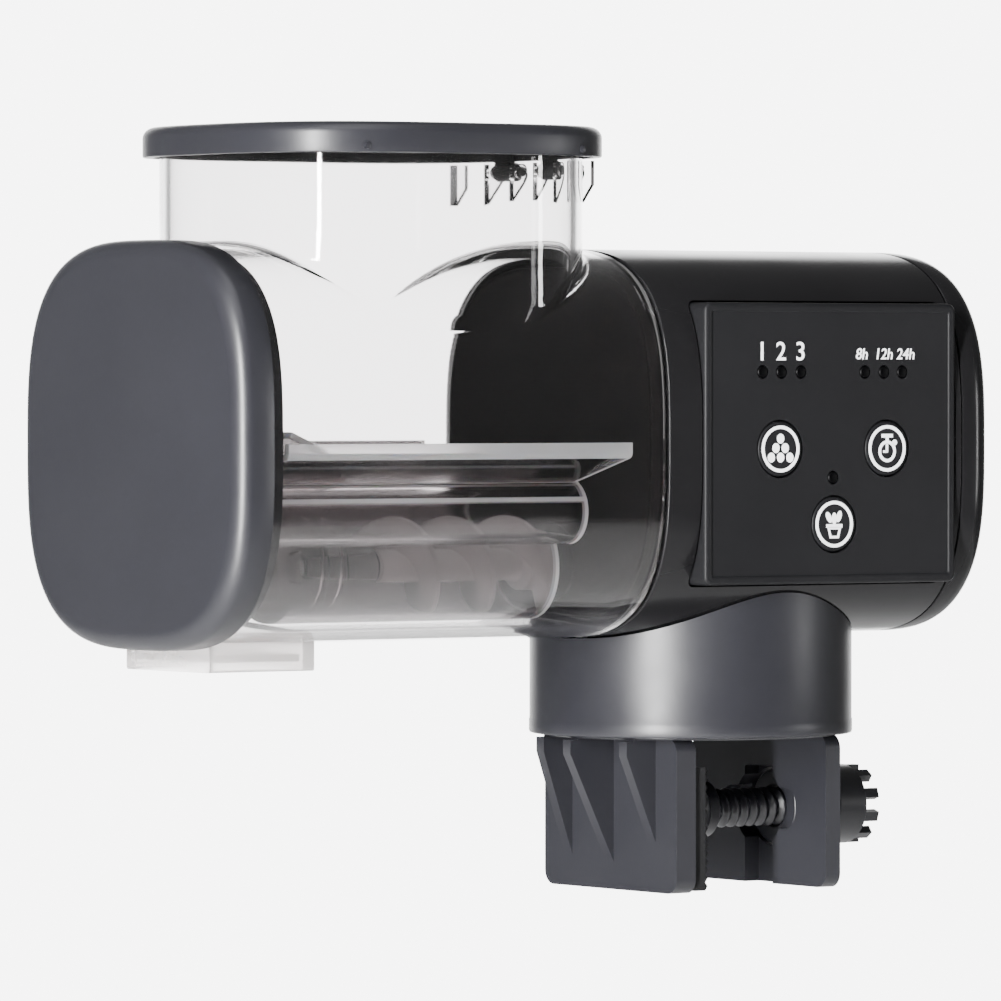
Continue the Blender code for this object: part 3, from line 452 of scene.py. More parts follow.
def housing():
    half, inner = BARREL / MM, BARREL / MM - SHELL
    front, back = GAP, (shell_high.x - SEAM_X) / MM
    rings = squircles((front, half - 0.3), (front + 0.1, half - 0.08), (front + 0.35, half),
                      (back - 0.2, half), (back - 0.05, half - 0.06), (back, half - 0.2), (back, inner),
                      (front, inner))
    shell = loft("housing_barrel", "x", rings, "gloss_black", loop=True)
    x_low, x_high = (panel_low.x - SEAM_X) / MM - GAP, (panel_high.x - SEAM_X) / MM + GAP
    z_half = (panel_high.z - panel_low.z) / 2 / MM + GAP
    outline = rounded_box((-z_half, x_low), (z_half, x_high), 1.5)
    combine(shell, loft("pocket", "y", [(-40, outline), (-18, outline)]), 'DIFFERENCE')
    place(soften(shell, 0.3), "head", "gloss_black", "housing_shell")


def battery_cover():
    half = BARREL / MM
    front, back = (shell_high.x - SEAM_X) / MM, (cover_high.x - SEAM_X) / MM
    edge, plug, plug_depth = 4.2, half - SHELL - GAP, 1.2
    rings = squircles((front - plug_depth, 28.7), (front - plug_depth, plug), (front + GAP, plug),
                      (front + GAP, half - 0.2), (front + 0.36, half - 0.05), (front + 0.5, half))
    for step in range(ROUND_STEPS + 1):
        angle = math.pi / 2 * step / ROUND_STEPS
        rings += squircles((back - 0.5 - edge * (1 - math.sin(angle)), half - edge * (1 - math.cos(angle))))
    rings += squircles((back - 0.32, 25), (back - 0.12, 17), (back - 0.02, 7))
    cover = loft("battery_cover_shell", "x", rings, "gloss_black")
    place(cover, "battery_cover", "gloss_black", "battery_cover")


def collar():
    """A ring whose top follows the barrel's underside; None in the profile stands for that top."""
    radius, wall = (collar_high.x - collar_low.x) / 2 / MM, 2.4
    bottom = collar_low.z / MM
    room = BARREL / MM + GAP

    def top(y):
        share = 1 - min(abs(y) / room, 1) ** SQUIRCLE
        return AXIS_Z / MM - room * share ** (1 / SQUIRCLE)

    bm = bmesh.new()
    bore, room_radius, floor_low, floor_high = 12.1, 25.5, 3.5, 5.7
    profile = [(bore, floor_low), (room_radius, floor_low), (room_radius, bottom + 0.15), (25.65, bottom),
               (radius - 0.5, bottom), (radius - 0.15, bottom + 0.12), (radius, bottom + 0.45),
               (radius, bottom + 2.4), (radius - 0.1, bottom + 2.6), (radius - 0.1, None),
               (radius - wall, None), (radius - wall, floor_high), (bore, floor_high)]
    loops = []
    for r, z in profile:
        loop = []
        for x, y in circle(r, segments=FINE * 2):
            loop.append(bm.verts.new(Vector((x, y, top(y) if z is None else z)) * MM))
        loops.append(loop)
    for low, high in zip(loops, loops[1:] + loops[:1]):
        bridge(bm, low, high)
    shell = piece_from(bm, "swivel_collar_shell", "charcoal_plastic")
    place(shell, "head", "charcoal_plastic", "swivel_collar")


def lid():
    half_x, half_y = (lid_high.x - lid_low.x) / 2 / MM, (lid_high.y - lid_low.y) / 2 / MM
    top = (lid_high.z - AXIS_Z) / MM
    bottom = top - 5.1
    centre = (lid_high.x + lid_low.x) / 2 / MM - SEAM_X / MM

    def outline(inset):
        return [(centre + a, b) for a, b in squircle(half_x - inset, half_y - inset)]

    rings = [(top - WALL, outline(3.2)), (bottom + 0.4, outline(WALL)), (bottom, outline(WALL)),
             (bottom, outline(0.25)), (bottom + 0.1, outline(0.07)), (bottom + 0.3, outline(0))]
    edge, steps = 1.9, 8
    for step in range(steps + 1):
        angle = math.pi / 2 * step / steps
        rings.append((top - edge + edge * math.sin(angle), outline(edge - edge * math.cos(angle))))
    rings += [(top, outline(12)), (top, outline(24))]
    shell = loft("hopper_lid_shell", "z", rings, "charcoal_plastic")
    rise, out = HINGE
    for y in (-KNUCKLE_Y, KNUCKLE_Y):
        knuckle = turned("knuckle", "y", [(y - 2.6, 1.6), (y + 2.6, 1.6)], centre=HINGE, steps=40)
        web = [(rise, out - 1.2), (rise, out - 0.1), (bottom + 1, out - 0.1), (bottom + 1, out - 1.2)]
        combine(knuckle, prism("web", "y", web, y - 2.55, y + 2.55), 'UNION')
        drill(knuckle, "y", 1.15, y - 4, y + 4, HINGE, steps=32)
        combine(shell, knuckle, 'UNION')
    offset = 21.5
    face = -half_y * (1 - (offset / half_x) ** SQUIRCLE) ** (1 / SQUIRCLE)
    for x in (centre - offset, centre + offset):
        detent = turned("detent", "y", [(face - 0.45, 0.2), (face - 0.33, 0.6), (face + 0.9, 0.8)],
                        centre=(bottom + 1.1, x), steps=20)
        combine(shell, detent, 'UNION')
    place(shell, "lid", "charcoal_plastic", "hopper_lid")


# --- clear container --------------------------------------------------------------
NECK_X = -37.8
NECK_A = 32.2
NECK_B = 30.8
NECK_TOP = 50.2
NECK_BAND = 39.5        # a seam of points below the hinge lugs
LUG = [(1.4, -8.0), (1.4, 0.6), (1.1, 1.15), (0.5, 1.5), (-0.3, 1.6), (-0.9, 1.5), (-1.8, 1.0),
       (-5.6, -2.2), (-5.6, -8.0)]
STOP_RIB = [(1.4, -10.0), (1.4, -1.5), (-2.6, -1.5), (-5.6, -3.6), (-5.6, -10.0)]


def barrel_height(y, half):
    return half * (1 - min(abs(y) / half, 1) ** SQUIRCLE) ** (1 / SQUIRCLE)


def junction_fillet(radius=2.0, inside=0.9, steps=7):
    """A ring with a hollow face between the neck's wall and the barrel's roof."""
    half = BARREL / MM
    outline = squircle(NECK_A, NECK_B)
    wider = squircle(NECK_A + radius, NECK_B + radius)
    narrower = squircle(NECK_A - inside, NECK_B - inside)
    bm = bmesh.new()
    loops = []
    for (a, b), (wide_a, wide_b), (in_a, in_b) in zip(outline, wider, narrower):
        wide_b = max(min(wide_b, half - 0.4), 0.4 - half)
        corner = Vector((NECK_X + a, b, barrel_height(b, half)))
        up = Vector((NECK_X + a, b, corner.z + radius))
        out = Vector((NECK_X + wide_a, wide_b, barrel_height(wide_b, half)))
        inner = Vector((NECK_X + in_a, in_b, barrel_height(in_b, half) - inside * 0.8))
        curve = []
        for step in range(steps + 1):
            t = step / steps
            curve.append(up * (1 - t) ** 2 + corner * 2 * t * (1 - t) + out * t ** 2)
        section = [up + (inner - up) * 0.12, *curve, inner]
        loops.append([bm.verts.new(BARREL_ORIGIN + p * MM) for p in section])
    for low, high in zip(loops, loops[1:] + loops[:1]):
        bridge(bm, low, high)
    return piece_from(bm, "fillet")


def food_container():
    half = BARREL / MM
    front, back = (container_low.x - SEAM_X) / MM, (container_high.x - SEAM_X) / MM
    rings = squircles((front, half - 0.2), (front + 0.2, half), (back - 0.5, half),
                      (back - 0.15, half - 0.12), (back, half - 0.45))
    body = loft("food_container_shell", "x", rings, "clear_plastic")
    outer, top_outer, inner = [[(NECK_X + a, b) for a, b in squircle(NECK_A - inset, NECK_B - inset)]
                               for inset in (0, 0.4, WALL)]
    rings = [(0, outer), (NECK_BAND, outer), (NECK_TOP - 0.4, outer), (NECK_TOP, top_outer)]
    combine(body, loft("neck", "z", rings), 'UNION')
    combine(body, junction_fillet(), 'UNION')
    left, right = OUTLET_X
    skirt = rounded_box((-OUTLET_Y, OUTLET_BOTTOM), (OUTLET_Y, -20), 0.5)
    combine(body, prism("skirt", "x", skirt, left, right), 'UNION')
    rise, out = HINGE
    for y in (-LUG_Y[2], -LUG_Y[1], -LUG_Y[0], *LUG_Y):
        lug = [(rise + a, out + b) for a, b in (STOP_RIB if abs(y) == LUG_Y[2] else LUG)]
        combine(body, prism("lug", "y", lug, y - 0.7, y + 0.7), 'UNION')
    combine(body, prism("inside", "x", squircle(half - WALL), front - 1, 1), 'DIFFERENCE')
    rings = [(0, inner), (NECK_BAND, inner), (NECK_TOP + 1, inner)]
    combine(body, loft("neck_inside", "z", rings), 'DIFFERENCE')
    wall = 1.2
    mouth = rounded_box((left + wall, wall - OUTLET_Y), (right - wall, OUTLET_Y - wall), 0.8)
    combine(body, prism("mouth", "z", mouth, OUTLET_BOTTOM - 1, -20), 'DIFFERENCE')
    gate_x, gate_z = GATE
    slot = rounded_box((gate_z - 1.05, gate_x - 8.5), (gate_z + 1.05, gate_x + 8.5), 0.4)
    combine(body, prism("gate_slot", "y", slot, 5, 16), 'DIFFERENCE')
    drill(body, "y", 1.2, -13, 13, HINGE, steps=24)
    body.data.materials.append(looks["frosted_skirt"])
    for face in body.data.polygons:
        if face.center.z < container_low.z + (OUTLET_DEPTH - 0.1) * MM:
            face.material_index = 1
    body.data.set_sharp_from_angle(angle=math.radians(18))
    even_normals(body)
    place(body, "head", "clear_plastic", "food_container")


# --- inside the container ---------------------------------------------------------
def bulkhead():
    """The housing's dark front wall, with a boss round the auger's shaft."""
    lip, plate = BARREL / MM - WALL - GAP - 1.2, BARREL / MM - SHELL - GAP
    rings = squircles((-1.25, lip - 1.3), (-1.5, lip - 0.9), (-1.6, lip - 0.4), (-1.5, lip - 0.1),
                      (-1.3, lip), (0.9, lip), (0.9, plate - 0.2), (1.1, plate), (3.0, plate),
                      (3.0, plate - 3))
    wall = loft("bulkhead_wall", "x", rings, "bulkhead")
    rib = turned("bulkhead_boss", "x", [(-1.6, 4.0), (-1.6, 6.8), (-0.6, 7.2), (1.0, 7.2), (1.0, 4.0)],
                 centre=(0, AUGER_Z), loop=True, steps=64)
    combine(wall, rib, 'UNION')
    drill(wall, "x", 2.5, -4, 5, (0, AUGER_Z))
    place(wall, "head", "panel_black", "bulkhead")


BEAD_Y = 13.0
BEAD_Z = -11.4
BEAD_R = 5.0
SHEET = 1.2


def arc(centre, radius, start, end, steps):
    angles = [math.radians(start + (end - start) * step / steps) for step in range(steps + 1)]
    return [(centre[0] + radius * math.cos(angle), centre[1] + radius * math.sin(angle)) for angle in angles]


def thick_sheet(bm, name, look):
    surface = piece_from(bm, name, look)
    solid = surface.modifiers.new("thickness", 'SOLIDIFY')
    solid.thickness = SHEET * MM
    solid.offset = 0
    solid.material_offset_rim = 1
    surface.data.materials.append(looks["frosted_edge_and_highlight"])
    apply_modifiers(surface)
    return surface


def hopper_floor():
    """Sloping sides with a rounded bead at each lower edge, and the auger's trough between them."""
    front, back = -75.2, -6.5
    side = [(-30.7, 0.3), *arc((-30.2, -1.3), 0.5, 180, 255, 4),
            *arc((-BEAD_Y, BEAD_Z), BEAD_R, 104, 268, 20)]
    lip = math.degrees(math.asin((BEAD_Z - BEAD_R - AUGER_Z) / TROUGH_R))
    side += arc((0, AUGER_Z), TROUGH_R, 180 - lip, 270, 20)
    path = side + [(-y, z) for y, z in reversed(side[:-1])]
    bm = bmesh.new()
    rows = [[bm.verts.new(BARREL_ORIGIN + Vector((x, y, z)) * MM) for y, z in path]
            for x in (front, back - 0.7, back)]
    for near, far in zip(rows, rows[1:]):
        for i in range(len(path) - 1):
            bm.faces.new((near[i], far[i], far[i + 1], near[i + 1]))
    floor = thick_sheet(bm, "hopper_floor_sheet", "clear_sheet")
    # Third slot: the near-black copy of the sheet, painted shade for the floor's far half.
    floor.data.materials.append(looks["shaded_sheet_copy"])
    low, high = (OUTLET_X[0] + 2, -8.0, AUGER_Z - 12), (OUTLET_X[1] - 2, 8.0, AUGER_Z - 3)
    combine(floor, box("trough_mouth", low, high), 'DIFFERENCE')
    # Painted highlights: faces along the upper ledge and two thin bands round each bead take the frosted
    # material as painted highlight lines; the strip at the back end takes it as a frosted edge.
    for face in floor.data.polygons:
        centre = (face.center - BARREL_ORIGIN) / MM
        out, up = abs(centre.y) - BEAD_Y, centre.z - BEAD_Z
        turn = math.degrees(math.atan2(out, up))
        # Thin bands round the bead where painted highlight lines are laid.
        bead_highlight_band = math.hypot(out, up) < BEAD_R + 1 and (18 < turn < 28 or 60 < turn < 69)
        if abs(centre.y) > 30.2 or bead_highlight_band or centre.x > back - 0.7:
            face.material_index = 1
        # The rest of the far half (+y) takes the near-black copy: painted shade.
        elif centre.y > 0:
            face.material_index = 2
    place(floor, "head", "clear_plastic", "hopper_floor")


def funnel_front():
    """A flat ramp above the floor's sides, leading food from the cap back to the trough."""
    half = [(-74.2, 30.4), (-62.0, 24.3), (-50.0, 10.5)]
    outline = half + [(x, -y) for x, y in reversed(half)]
    bm = bmesh.new()
    corners = [Vector((x, y, 1.8 - 0.289 * (x - half[0][0]))) for x, y in outline]
    bm.faces.new([bm.verts.new(BARREL_ORIGIN + corner * MM) for corner in corners])
    ramp = soften(thick_sheet(bm, "funnel_ramp", "clear_sheet"), 0.35)
    place(ramp, "head", "clear_plastic", "funnel_front")


def feed_auger():
    centre = (0, AUGER_Z)
    profile = [(-51.5, 1.6), (-51.1, 2.0), (-38.2, 2.0), (-37.6, 2.8), (-10.4, 2.8), (-9.4, 3.1),
               (-8.6, 4.2), (-8.4, 4.6), (-3.5, 4.6), (-3.2, 4.3)]
    core = turned("auger_core", "x", profile, "milky_plastic", centre=centre, steps=64)
    blade = [(0.0, 1.8), (0.05, AUGER_R - 0.5), (0.25, AUGER_R - 0.1), (0.7, AUGER_R),
             (1.15, AUGER_R - 0.1), (1.35, AUGER_R - 0.5), (1.4, 1.8)]
    per_turn, turns = 56, 2.7
    bm = bmesh.new()
    loops = []
    for step in range(round(per_turn * turns) + 1):
        angle = TAU * step / per_turn
        radial = Vector((0, math.cos(angle), math.sin(angle)))
        along = -37.2 + AUGER_PITCH * step / per_turn
        points = [Vector((along + x, 0, AUGER_Z)) + radial * radius for x, radius in blade]
        loops.append([bm.verts.new(BARREL_ORIGIN + point * MM) for point in points])
    for low, high in zip(loops, loops[1:]):
        bridge(bm, low, high)
    bm.faces.new(loops[0])
    bm.faces.new(loops[-1])
    combine(core, piece_from(bm, "flight"), 'UNION')
    socket = box("socket", (-8.0, -1.8, AUGER_Z - 1.8), (-2.5, 1.8, AUGER_Z + 1.8))
    combine(core, socket, 'DIFFERENCE')
    place(core, "auger_drive", "milky_plastic", "feed_auger")


def auger_bearing():
    """Two thin hoops with upright bars, whose hub carries the auger's free end."""
    centre = (0, AUGER_Z)
    hoop = 1.2
    inner, outer = TROUGH_R - SHEET / 2 - GAP - hoop, TROUGH_R - SHEET / 2 - GAP
    front, back = -53.4, -38.6
    hub = [(front, 2.4), (front, 3.2), (front + 0.1, 3.3), (back - 0.1, 3.3), (back, 3.2), (back, 2.4),
           (back - 0.2, 2.3), (front + 0.2, 2.3)]
    body = turned("bearing_hub", "x", hub, "clear_edge", centre=centre, loop=True, steps=64)
    for x in (front, -49.6):
        section = [(x, inner + 0.1), (x, outer - 0.2), (x + 0.2, outer), (x + hoop - 0.2, outer),
                   (x + hoop, outer - 0.2), (x + hoop, inner + 0.1), (x + hoop - 0.1, inner),
                   (x + 0.1, inner)]
        combine(body, turned("hoop", "x", section, centre=centre, loop=True), 'UNION')
        for low, high in ((2.8, inner + 0.4), (-inner - 0.4, -2.8)):
            bar = box("bar", (x, -0.9, AUGER_Z + low), (x + hoop, 0.9, AUGER_Z + high))
            combine(body, bar, 'UNION')
    place(body, "head", "clear_plastic", "auger_bearing")


def outlet_gate():
    x, z = GATE
    plate = box("gate_plate", (x - 8.2, -11.2, z - 0.6), (x + 8.2, 12.4, z + 0.6), "frosted_edge_and_highlight")
    combine(plate, box("tab", (x - 7.6, 12.0, z - 0.6), (x + 7.6, 15.5, z + 0.6)), 'UNION')
    combine(plate, box("grip", (x - 7.6, 14.3, z - 1.6), (x + 7.6, 15.8, z + 1.2)), 'UNION')
    place(soften(plate, 0.25), "outlet_gate", "clear_plastic", "outlet_gate")


# --- control panel ----------------------------------------------------------------
def control_panel():
    """A shallow plate with a raised rim, and holes for the keys and lights."""
    half_z = (panel_high.z - panel_low.z) / 2 / MM
    x_low, x_high = (panel_low.x - SEAM_X) / MM, (panel_high.x - SEAM_X) / MM
    back = panel_high.y / MM

    def outline(inset):
        corner = max(1.4 - inset, 0.35)
        return rounded_box((inset - half_z, x_low + inset), (half_z - inset, x_high - inset), corner)

    rings = [(PANEL_BACK, outline(1.6)), (back, outline(1.6)), (back, outline(0)),
             (PANEL_FACE + 0.7, outline(0)), (PANEL_FACE + 0.35, outline(0.06)),
             (PANEL_FACE + 0.1, outline(0.28)), (PANEL_FACE, outline(0.6)), (PANEL_FACE, outline(1.25)),
             (PANEL_FACE + 0.08, outline(1.4)), (FIELD_FACE, outline(1.55)), (FIELD_FACE, outline(2.4))]
    panel = loft("control_panel_face", "y", rings, "panel_black")
    for x, z in BUTTONS.values():
        drill(panel, "y", BUTTON_R + GAP, -36, -30, (z, x), steps=64)
    for x, z in LEDS:
        drill(panel, "y", 1.2, -36, -30, (z, x), steps=32)
    place(panel, "head", "panel_black", "control_panel")


def light_guide():
    face = PANEL_BACK + GAP
    guide = box("light_guide_bar", (17.6, face, 9.8), (51.4, face + 1.2, 14.4), "smoked_plastic")
    combine(guide, box("arm", (33.3, face, -7.2), (35.7, face + 1.2, 10.5)), 'UNION')
    for x, z in LEDS:
        dome = [(FIELD_FACE - 0.08, 0.5), (FIELD_FACE - 0.02, 0.85), (FIELD_FACE + 0.15, 1.0),
                (face + 0.5, 1.0)]
        combine(guide, turned("pin", "y", dome, centre=(z, x), steps=32), 'UNION')
    place(guide, "head", "smoked_plastic", "led_light_guide")


def button(name, x, z):
    flange, flange_r = PANEL_BACK + GAP, 5.6
    top = KEY_FACE
    profile = [(top, 3.0), (top + 0.02, 4.1), (top + 0.12, 4.45), (top + 0.35, BUTTON_R),
               (flange, BUTTON_R), (flange, flange_r), (flange + 0.8, flange_r), (flange + 0.8, 1.5),
               (-24.0, 1.5)]
    cap = turned(f"{name}_button_cap", "y", profile, "panel_black", centre=(z, x), steps=72)
    place(cap, f"{name}_button", "panel_black", f"{name}_button")


class Print:
    """Thin raised printing on the panel, drawn in (x, z) from a centre."""

    def __init__(self, name, centre, face):
        self.name, self.centre, self.face = name, centre, face
        self.bm = bmesh.new()

    def solid(self, outline, holes=()):
        """An extruded flat shape; its one hole, if any, has as many points as its outline."""
        depth = [self.face + 0.05, self.face - 0.06]
        loops = []
        for points in (outline, *holes):
            for y in depth:
                row = [Vector((self.centre[0] + x, y, self.centre[1] + z)) for x, z in points]
                loops.append([self.bm.verts.new(BARREL_ORIGIN + point * MM) for point in row])
        if holes:
            outer_back, outer_front, inner_back, inner_front = loops
            bands = [(outer_back, outer_front), (outer_front, inner_front), (inner_front, inner_back),
                     (inner_back, outer_back)]
        else:
            bands = [(loops[0], loops[1])]
            self.bm.faces.new(loops[0])
            self.bm.faces.new(loops[1])
        for low, high in bands:
            bridge(self.bm, low, high)

    def ring(self, radius, width, centre=(0, 0), segments=72):
        self.solid(circle(radius, centre, segments), [circle(radius - width, centre, segments)])

    def disc(self, radius, centre, stretch=1.0, tilt=0.0):
        cosine, sine = math.cos(math.radians(tilt)), math.sin(math.radians(tilt))
        points = [(a, b * stretch) for a, b in circle(radius, segments=28)]
        self.solid([(centre[0] + a * cosine - b * sine, centre[1] + a * sine + b * cosine)
                    for a, b in points])

    def bar(self, low, high):
        self.solid([low, (high[0], low[1]), high, (low[0], high[1])])

    def words(self, text, height, slant=0.0, weight=0.0):
        """Figures from Blender's built-in font, sitting on the centre's height."""
        curve = bpy.data.curves.new("figures", 'FONT')
        curve.body = text
        curve.size = height / 0.72
        curve.align_x = 'CENTER'
        curve.offset = weight
        curve.shear = slant
        curve.extrude = 0.055
        curve.resolution_u = 5
        made = bpy.data.objects.new("figures", curve)
        bpy.context.scene.collection.objects.link(made)
        mesh = bpy.data.meshes.new_from_object(made.evaluated_get(bpy.context.evaluated_depsgraph_get()))
        bpy.data.objects.remove(made, do_unlink=True)
        upright = Matrix.Rotation(math.pi / 2, 4, 'X')
        spot = BARREL_ORIGIN + Vector((self.centre[0], self.face, self.centre[1])) * MM
        mesh.transform(Matrix.Translation(spot) @ Matrix.Scale(MM, 4) @ upright)
        self.bm.from_mesh(mesh)
        bpy.data.meshes.remove(mesh)

    def finish(self, body):
        bmesh.ops.remove_doubles(self.bm, verts=self.bm.verts, dist=0.000001)
        place(piece_from(self.bm, self.name, "white_ink"), body, "panel_black")


RING_R = 3.95
RING_W = 0.55


def amount_print():
    """A heap of six pellets."""
    mark = Print("amount_icon", BUTTONS["amount"], KEY_FACE)
    mark.ring(RING_R, RING_W)
    for row, count in enumerate((1, 2, 3)):
        for place_in_row in range(count):
            mark.disc(0.74, ((place_in_row - (count - 1) / 2) * 1.95, 1.75 - row * 1.6), 1.12)
    mark.finish("amount_button")


def interval_print():
    """A stopwatch."""
    mark = Print("interval_icon", BUTTONS["interval"], KEY_FACE)
    mark.ring(RING_R, RING_W)
    mark.ring(1.85, 0.52, (0, -0.5), 48)
    mark.bar((-0.28, -0.6), (0.18, 0.75))
    mark.bar((-0.85, -0.75), (0.1, -0.33))
    mark.bar((-0.3, 1.35), (0.3, 1.9))
    mark.bar((-1.2, 1.85), (1.2, 2.45))
    mark.disc(0.5, (1.6, 1.0))
    mark.finish("interval_button")


def feed_print():
    """A pot with three leaves."""
    mark = Print("feed_icon", BUTTONS["feed"], KEY_FACE)
    mark.ring(RING_R, RING_W)
    mark.solid([(-0.95, -2.4), (0.95, -2.4), (1.45, -0.5), (-1.45, -0.5)],
               [[(-0.62, -2.0), (0.62, -2.0), (0.95, -0.9), (-0.95, -0.9)]])
    mark.bar((-1.7, -0.6), (1.7, 0.0))
    for x, z, tilt in ((-1.15, 1.15, 28), (0.0, 0.95, 0), (1.0, 1.3, -18)):
        mark.disc(0.5, (x, z), 2.0, tilt)
    mark.finish("feed_button")


def scale_prints():
    amounts = Print("amount_figures", (0, 0), FIELD_FACE)
    for text, (x, z) in zip("123", LEDS[:3]):
        amounts.centre = (x - 0.15, z + 2.0)
        amounts.words(text, 3.2, weight=0.03)
    amounts.finish("head")
    hours = Print("interval_figures", (0, 0), FIELD_FACE)
    for text, (x, z), shift in zip(("8h", "12h", "24h"), LEDS[3:6], (-0.75, -0.15, 0.65)):
        hours.centre = (x + shift, z + 2.2)
        hours.words(text, 1.9, 0.15, 0.025)
    hours.finish("head")


# --- clamp ------------------------------------------------------------------------
JAW_RIBS = [(-12.2, -17.5), (0.0, -21.4), (12.2, -20.7)]


def clamp_bracket():
    profile = [(0, 12), (0, 24.95), (0.25, 25.2), (3.0, 25.2), (3.2, 25.0), (3.2, 12.0), (6.6, 12.0),
               (6.8, 11.8)]
    bracket = turned("clamp_bracket_body", "z", profile, "charcoal_plastic", SEAT, steps=FINE)
    jaw = rounded_box((-JAW_Y, JAW_BOTTOM), (JAW_Y, GAP), 2.5, 10)
    for low, high in (FIXED_JAW, FAR_JAW):
        combine(bracket, prism("jaw", "x", jaw, low, high, origin=SEAT), 'UNION')
    wall = rounded_box((-12, -22), (12, GAP), 0.8)
    combine(bracket, prism("nut_wall", "x", wall, FAR_JAW[1] - 0.5, NUT_WALL[1], origin=SEAT), 'UNION')
    for y, foot in JAW_RIBS:
        reach = -math.sqrt(26.2 ** 2 - y ** 2)
        outline = [(0.6, FIXED_JAW[0] + 1), (0.6, reach + 1.6), (-GAP, reach + 1.6), (-GAP, reach),
                   (-2.7, reach), (foot, FIXED_JAW[0]), (foot, FIXED_JAW[0] + 1)]
        combine(bracket, prism("jaw_rib", "y", outline, y - 1.1, y + 1.1, origin=SEAT), 'UNION')
    upright = rounded_box((-4.0, JAW_BOTTOM - 3), (4.0, -5.7), 0.5)
    upright = prism("upright", "x", upright, FAR_JAW[0] - 1, FAR_JAW[1] - 0.1, origin=SEAT)
    combine(bracket, upright, 'DIFFERENCE')
    bar = rounded_box((-10.8, SCREW_Z - 3.6), (10.8, SCREW_Z + 3.6), 3.4, 10)
    combine(bracket, prism("bar", "x", bar, FAR_JAW[0] - 1, FAR_JAW[1] - 0.2, origin=SEAT), 'DIFFERENCE')
    drill(bracket, "x", NUT_R + GAP, FAR_JAW[0] - 1, NUT_WALL[1] + 1, (0, SCREW_Z), SEAT, steps=72)
    drill(bracket, "z", 2.3, 1.4, 8, origin=SEAT, steps=40)
    place(soften(bracket, 0.4), "bracket", "charcoal_plastic", "clamp_bracket")


def jaw_pad():
    """A rubber pad whose face is a field of small pyramids."""
    low, high, back = JAW_BOTTOM + 0.4, -4.7, FIXED_JAW[1] + GAP
    root, tip = back + 2.3, back + 3.35
    half = JAW_Y - 0.8
    rows, columns = 15, 24
    bm = bmesh.new()
    height, width = (high - low) / rows, 2 * half / columns
    grid = [[bm.verts.new(Vector((root, -half + width * c, low + height * r)) * MM)
             for c in range(columns + 1)] for r in range(rows + 1)]
    for r in range(rows):
        for c in range(columns):
            peak = bm.verts.new(Vector((tip, -half + width * (c + 0.5), low + height * (r + 0.5))) * MM)
            corners = [grid[r][c], grid[r][c + 1], grid[r + 1][c + 1], grid[r + 1][c]]
            for first, second in zip(corners, corners[1:] + corners[:1]):
                bm.faces.new((first, second, peak))
    right, left = [row[-1] for row in grid[1:]], [row[0] for row in grid[1:-1]]
    rim = [*grid[0], *right, *reversed(grid[-1][:-1]), *reversed(left)]
    rear = [bm.verts.new(Vector((back, vert.co.y / MM, vert.co.z / MM)) * MM) for vert in rim]
    bridge(bm, rim, rear)
    bm.faces.new(rear)
    place(piece_from(bm, "jaw_pad_toothed", "rubber", smooth=10), "bracket", "rubber", "jaw_pad")


def clamp_screw():
    """A rod with a 2 mm helical thread, drawn from the press pad's axis."""
    pitch, depth, radius, steps = 2.0, 0.85, 3.4, 64
    start, end = 3.5, screw_high.x / MM
    rings = [(x, circle(r, segments=steps)) for x, r in ((-0.4, 2.1), (-0.1, 2.4), (start - 0.4, 2.4))]
    count = round((end - start) / 0.16)
    for index in range(count + 1):
        x = start + (end - start) * index / count
        fade = min((x - start) / 1.2, (end - x) / 0.6, 1.0)
        points = []
        for step in range(steps):
            turn = step / steps
            phase = (x / pitch - turn) % 1.0
            flank = min(max(abs(phase - 0.5) * 2 * 1.35 - 0.18, 0), 1)
            r = radius - depth * (flank * fade + (1 - fade) * 0.9)
            points.append((r * math.cos(TAU * turn), r * math.sin(TAU * turn)))
        rings.append((x, points))
    rod = loft("clamp_screw_thread", "x", rings, "charcoal_plastic", SCREW_ORIGIN, smooth=40)
    place(rod, "clamp_screw", "charcoal_plastic", "clamp_screw")


def press_foot():
    """A tapered disc with a socket for the rod, and a grooved rubber pad in front."""
    disc = [(-2.0, 6.2), (-1.7, 6.5), (-0.8, 6.5), (-0.4, 6.3), (0.7, 5.1), (2.7, 5.0), (3.0, 4.7)]
    body = turned("press_disc_body", "x", disc, "charcoal_plastic", SCREW_ORIGIN, steps=96)
    drill(body, "x", 2.7, -1.0, 4, origin=SCREW_ORIGIN)
    place(body, "press_foot", "charcoal_plastic", "press_disc")
    pad = [(-4.0, 2.0), (-4.0, 5.9), (-3.85, 6.3), (-3.6, 6.5), (-2.3, 6.5)]
    face = turned("press_pad_disc", "x", pad, "rubber", SCREW_ORIGIN, steps=96)
    for radius in (1.6, 3.2, 4.8):
        groove = [(-4.3, radius - 0.3), (-4.3, radius + 0.3), (-3.75, radius)]
        combine(face, turned("groove", "x", groove, None, SCREW_ORIGIN, loop=True, steps=72), 'DIFFERENCE')
    place(face, "press_foot", "rubber", "press_pad")


def thread_insert():
    low, high = FAR_JAW[1] + 0.1, NUT_WALL[1]
    edge, bore = 0.3, 3.5
    section = [(low, bore + edge), (low, NUT_R - edge), (low + edge, NUT_R), (high - edge, NUT_R),
               (high, NUT_R - edge), (high, bore + edge), (high - edge, bore), (low + edge, bore)]
    insert = turned("thread_insert_ring", "x", section, "charcoal_plastic", SCREW_ORIGIN, loop=True)
    place(insert, "bracket", "charcoal_plastic", "thread_insert")


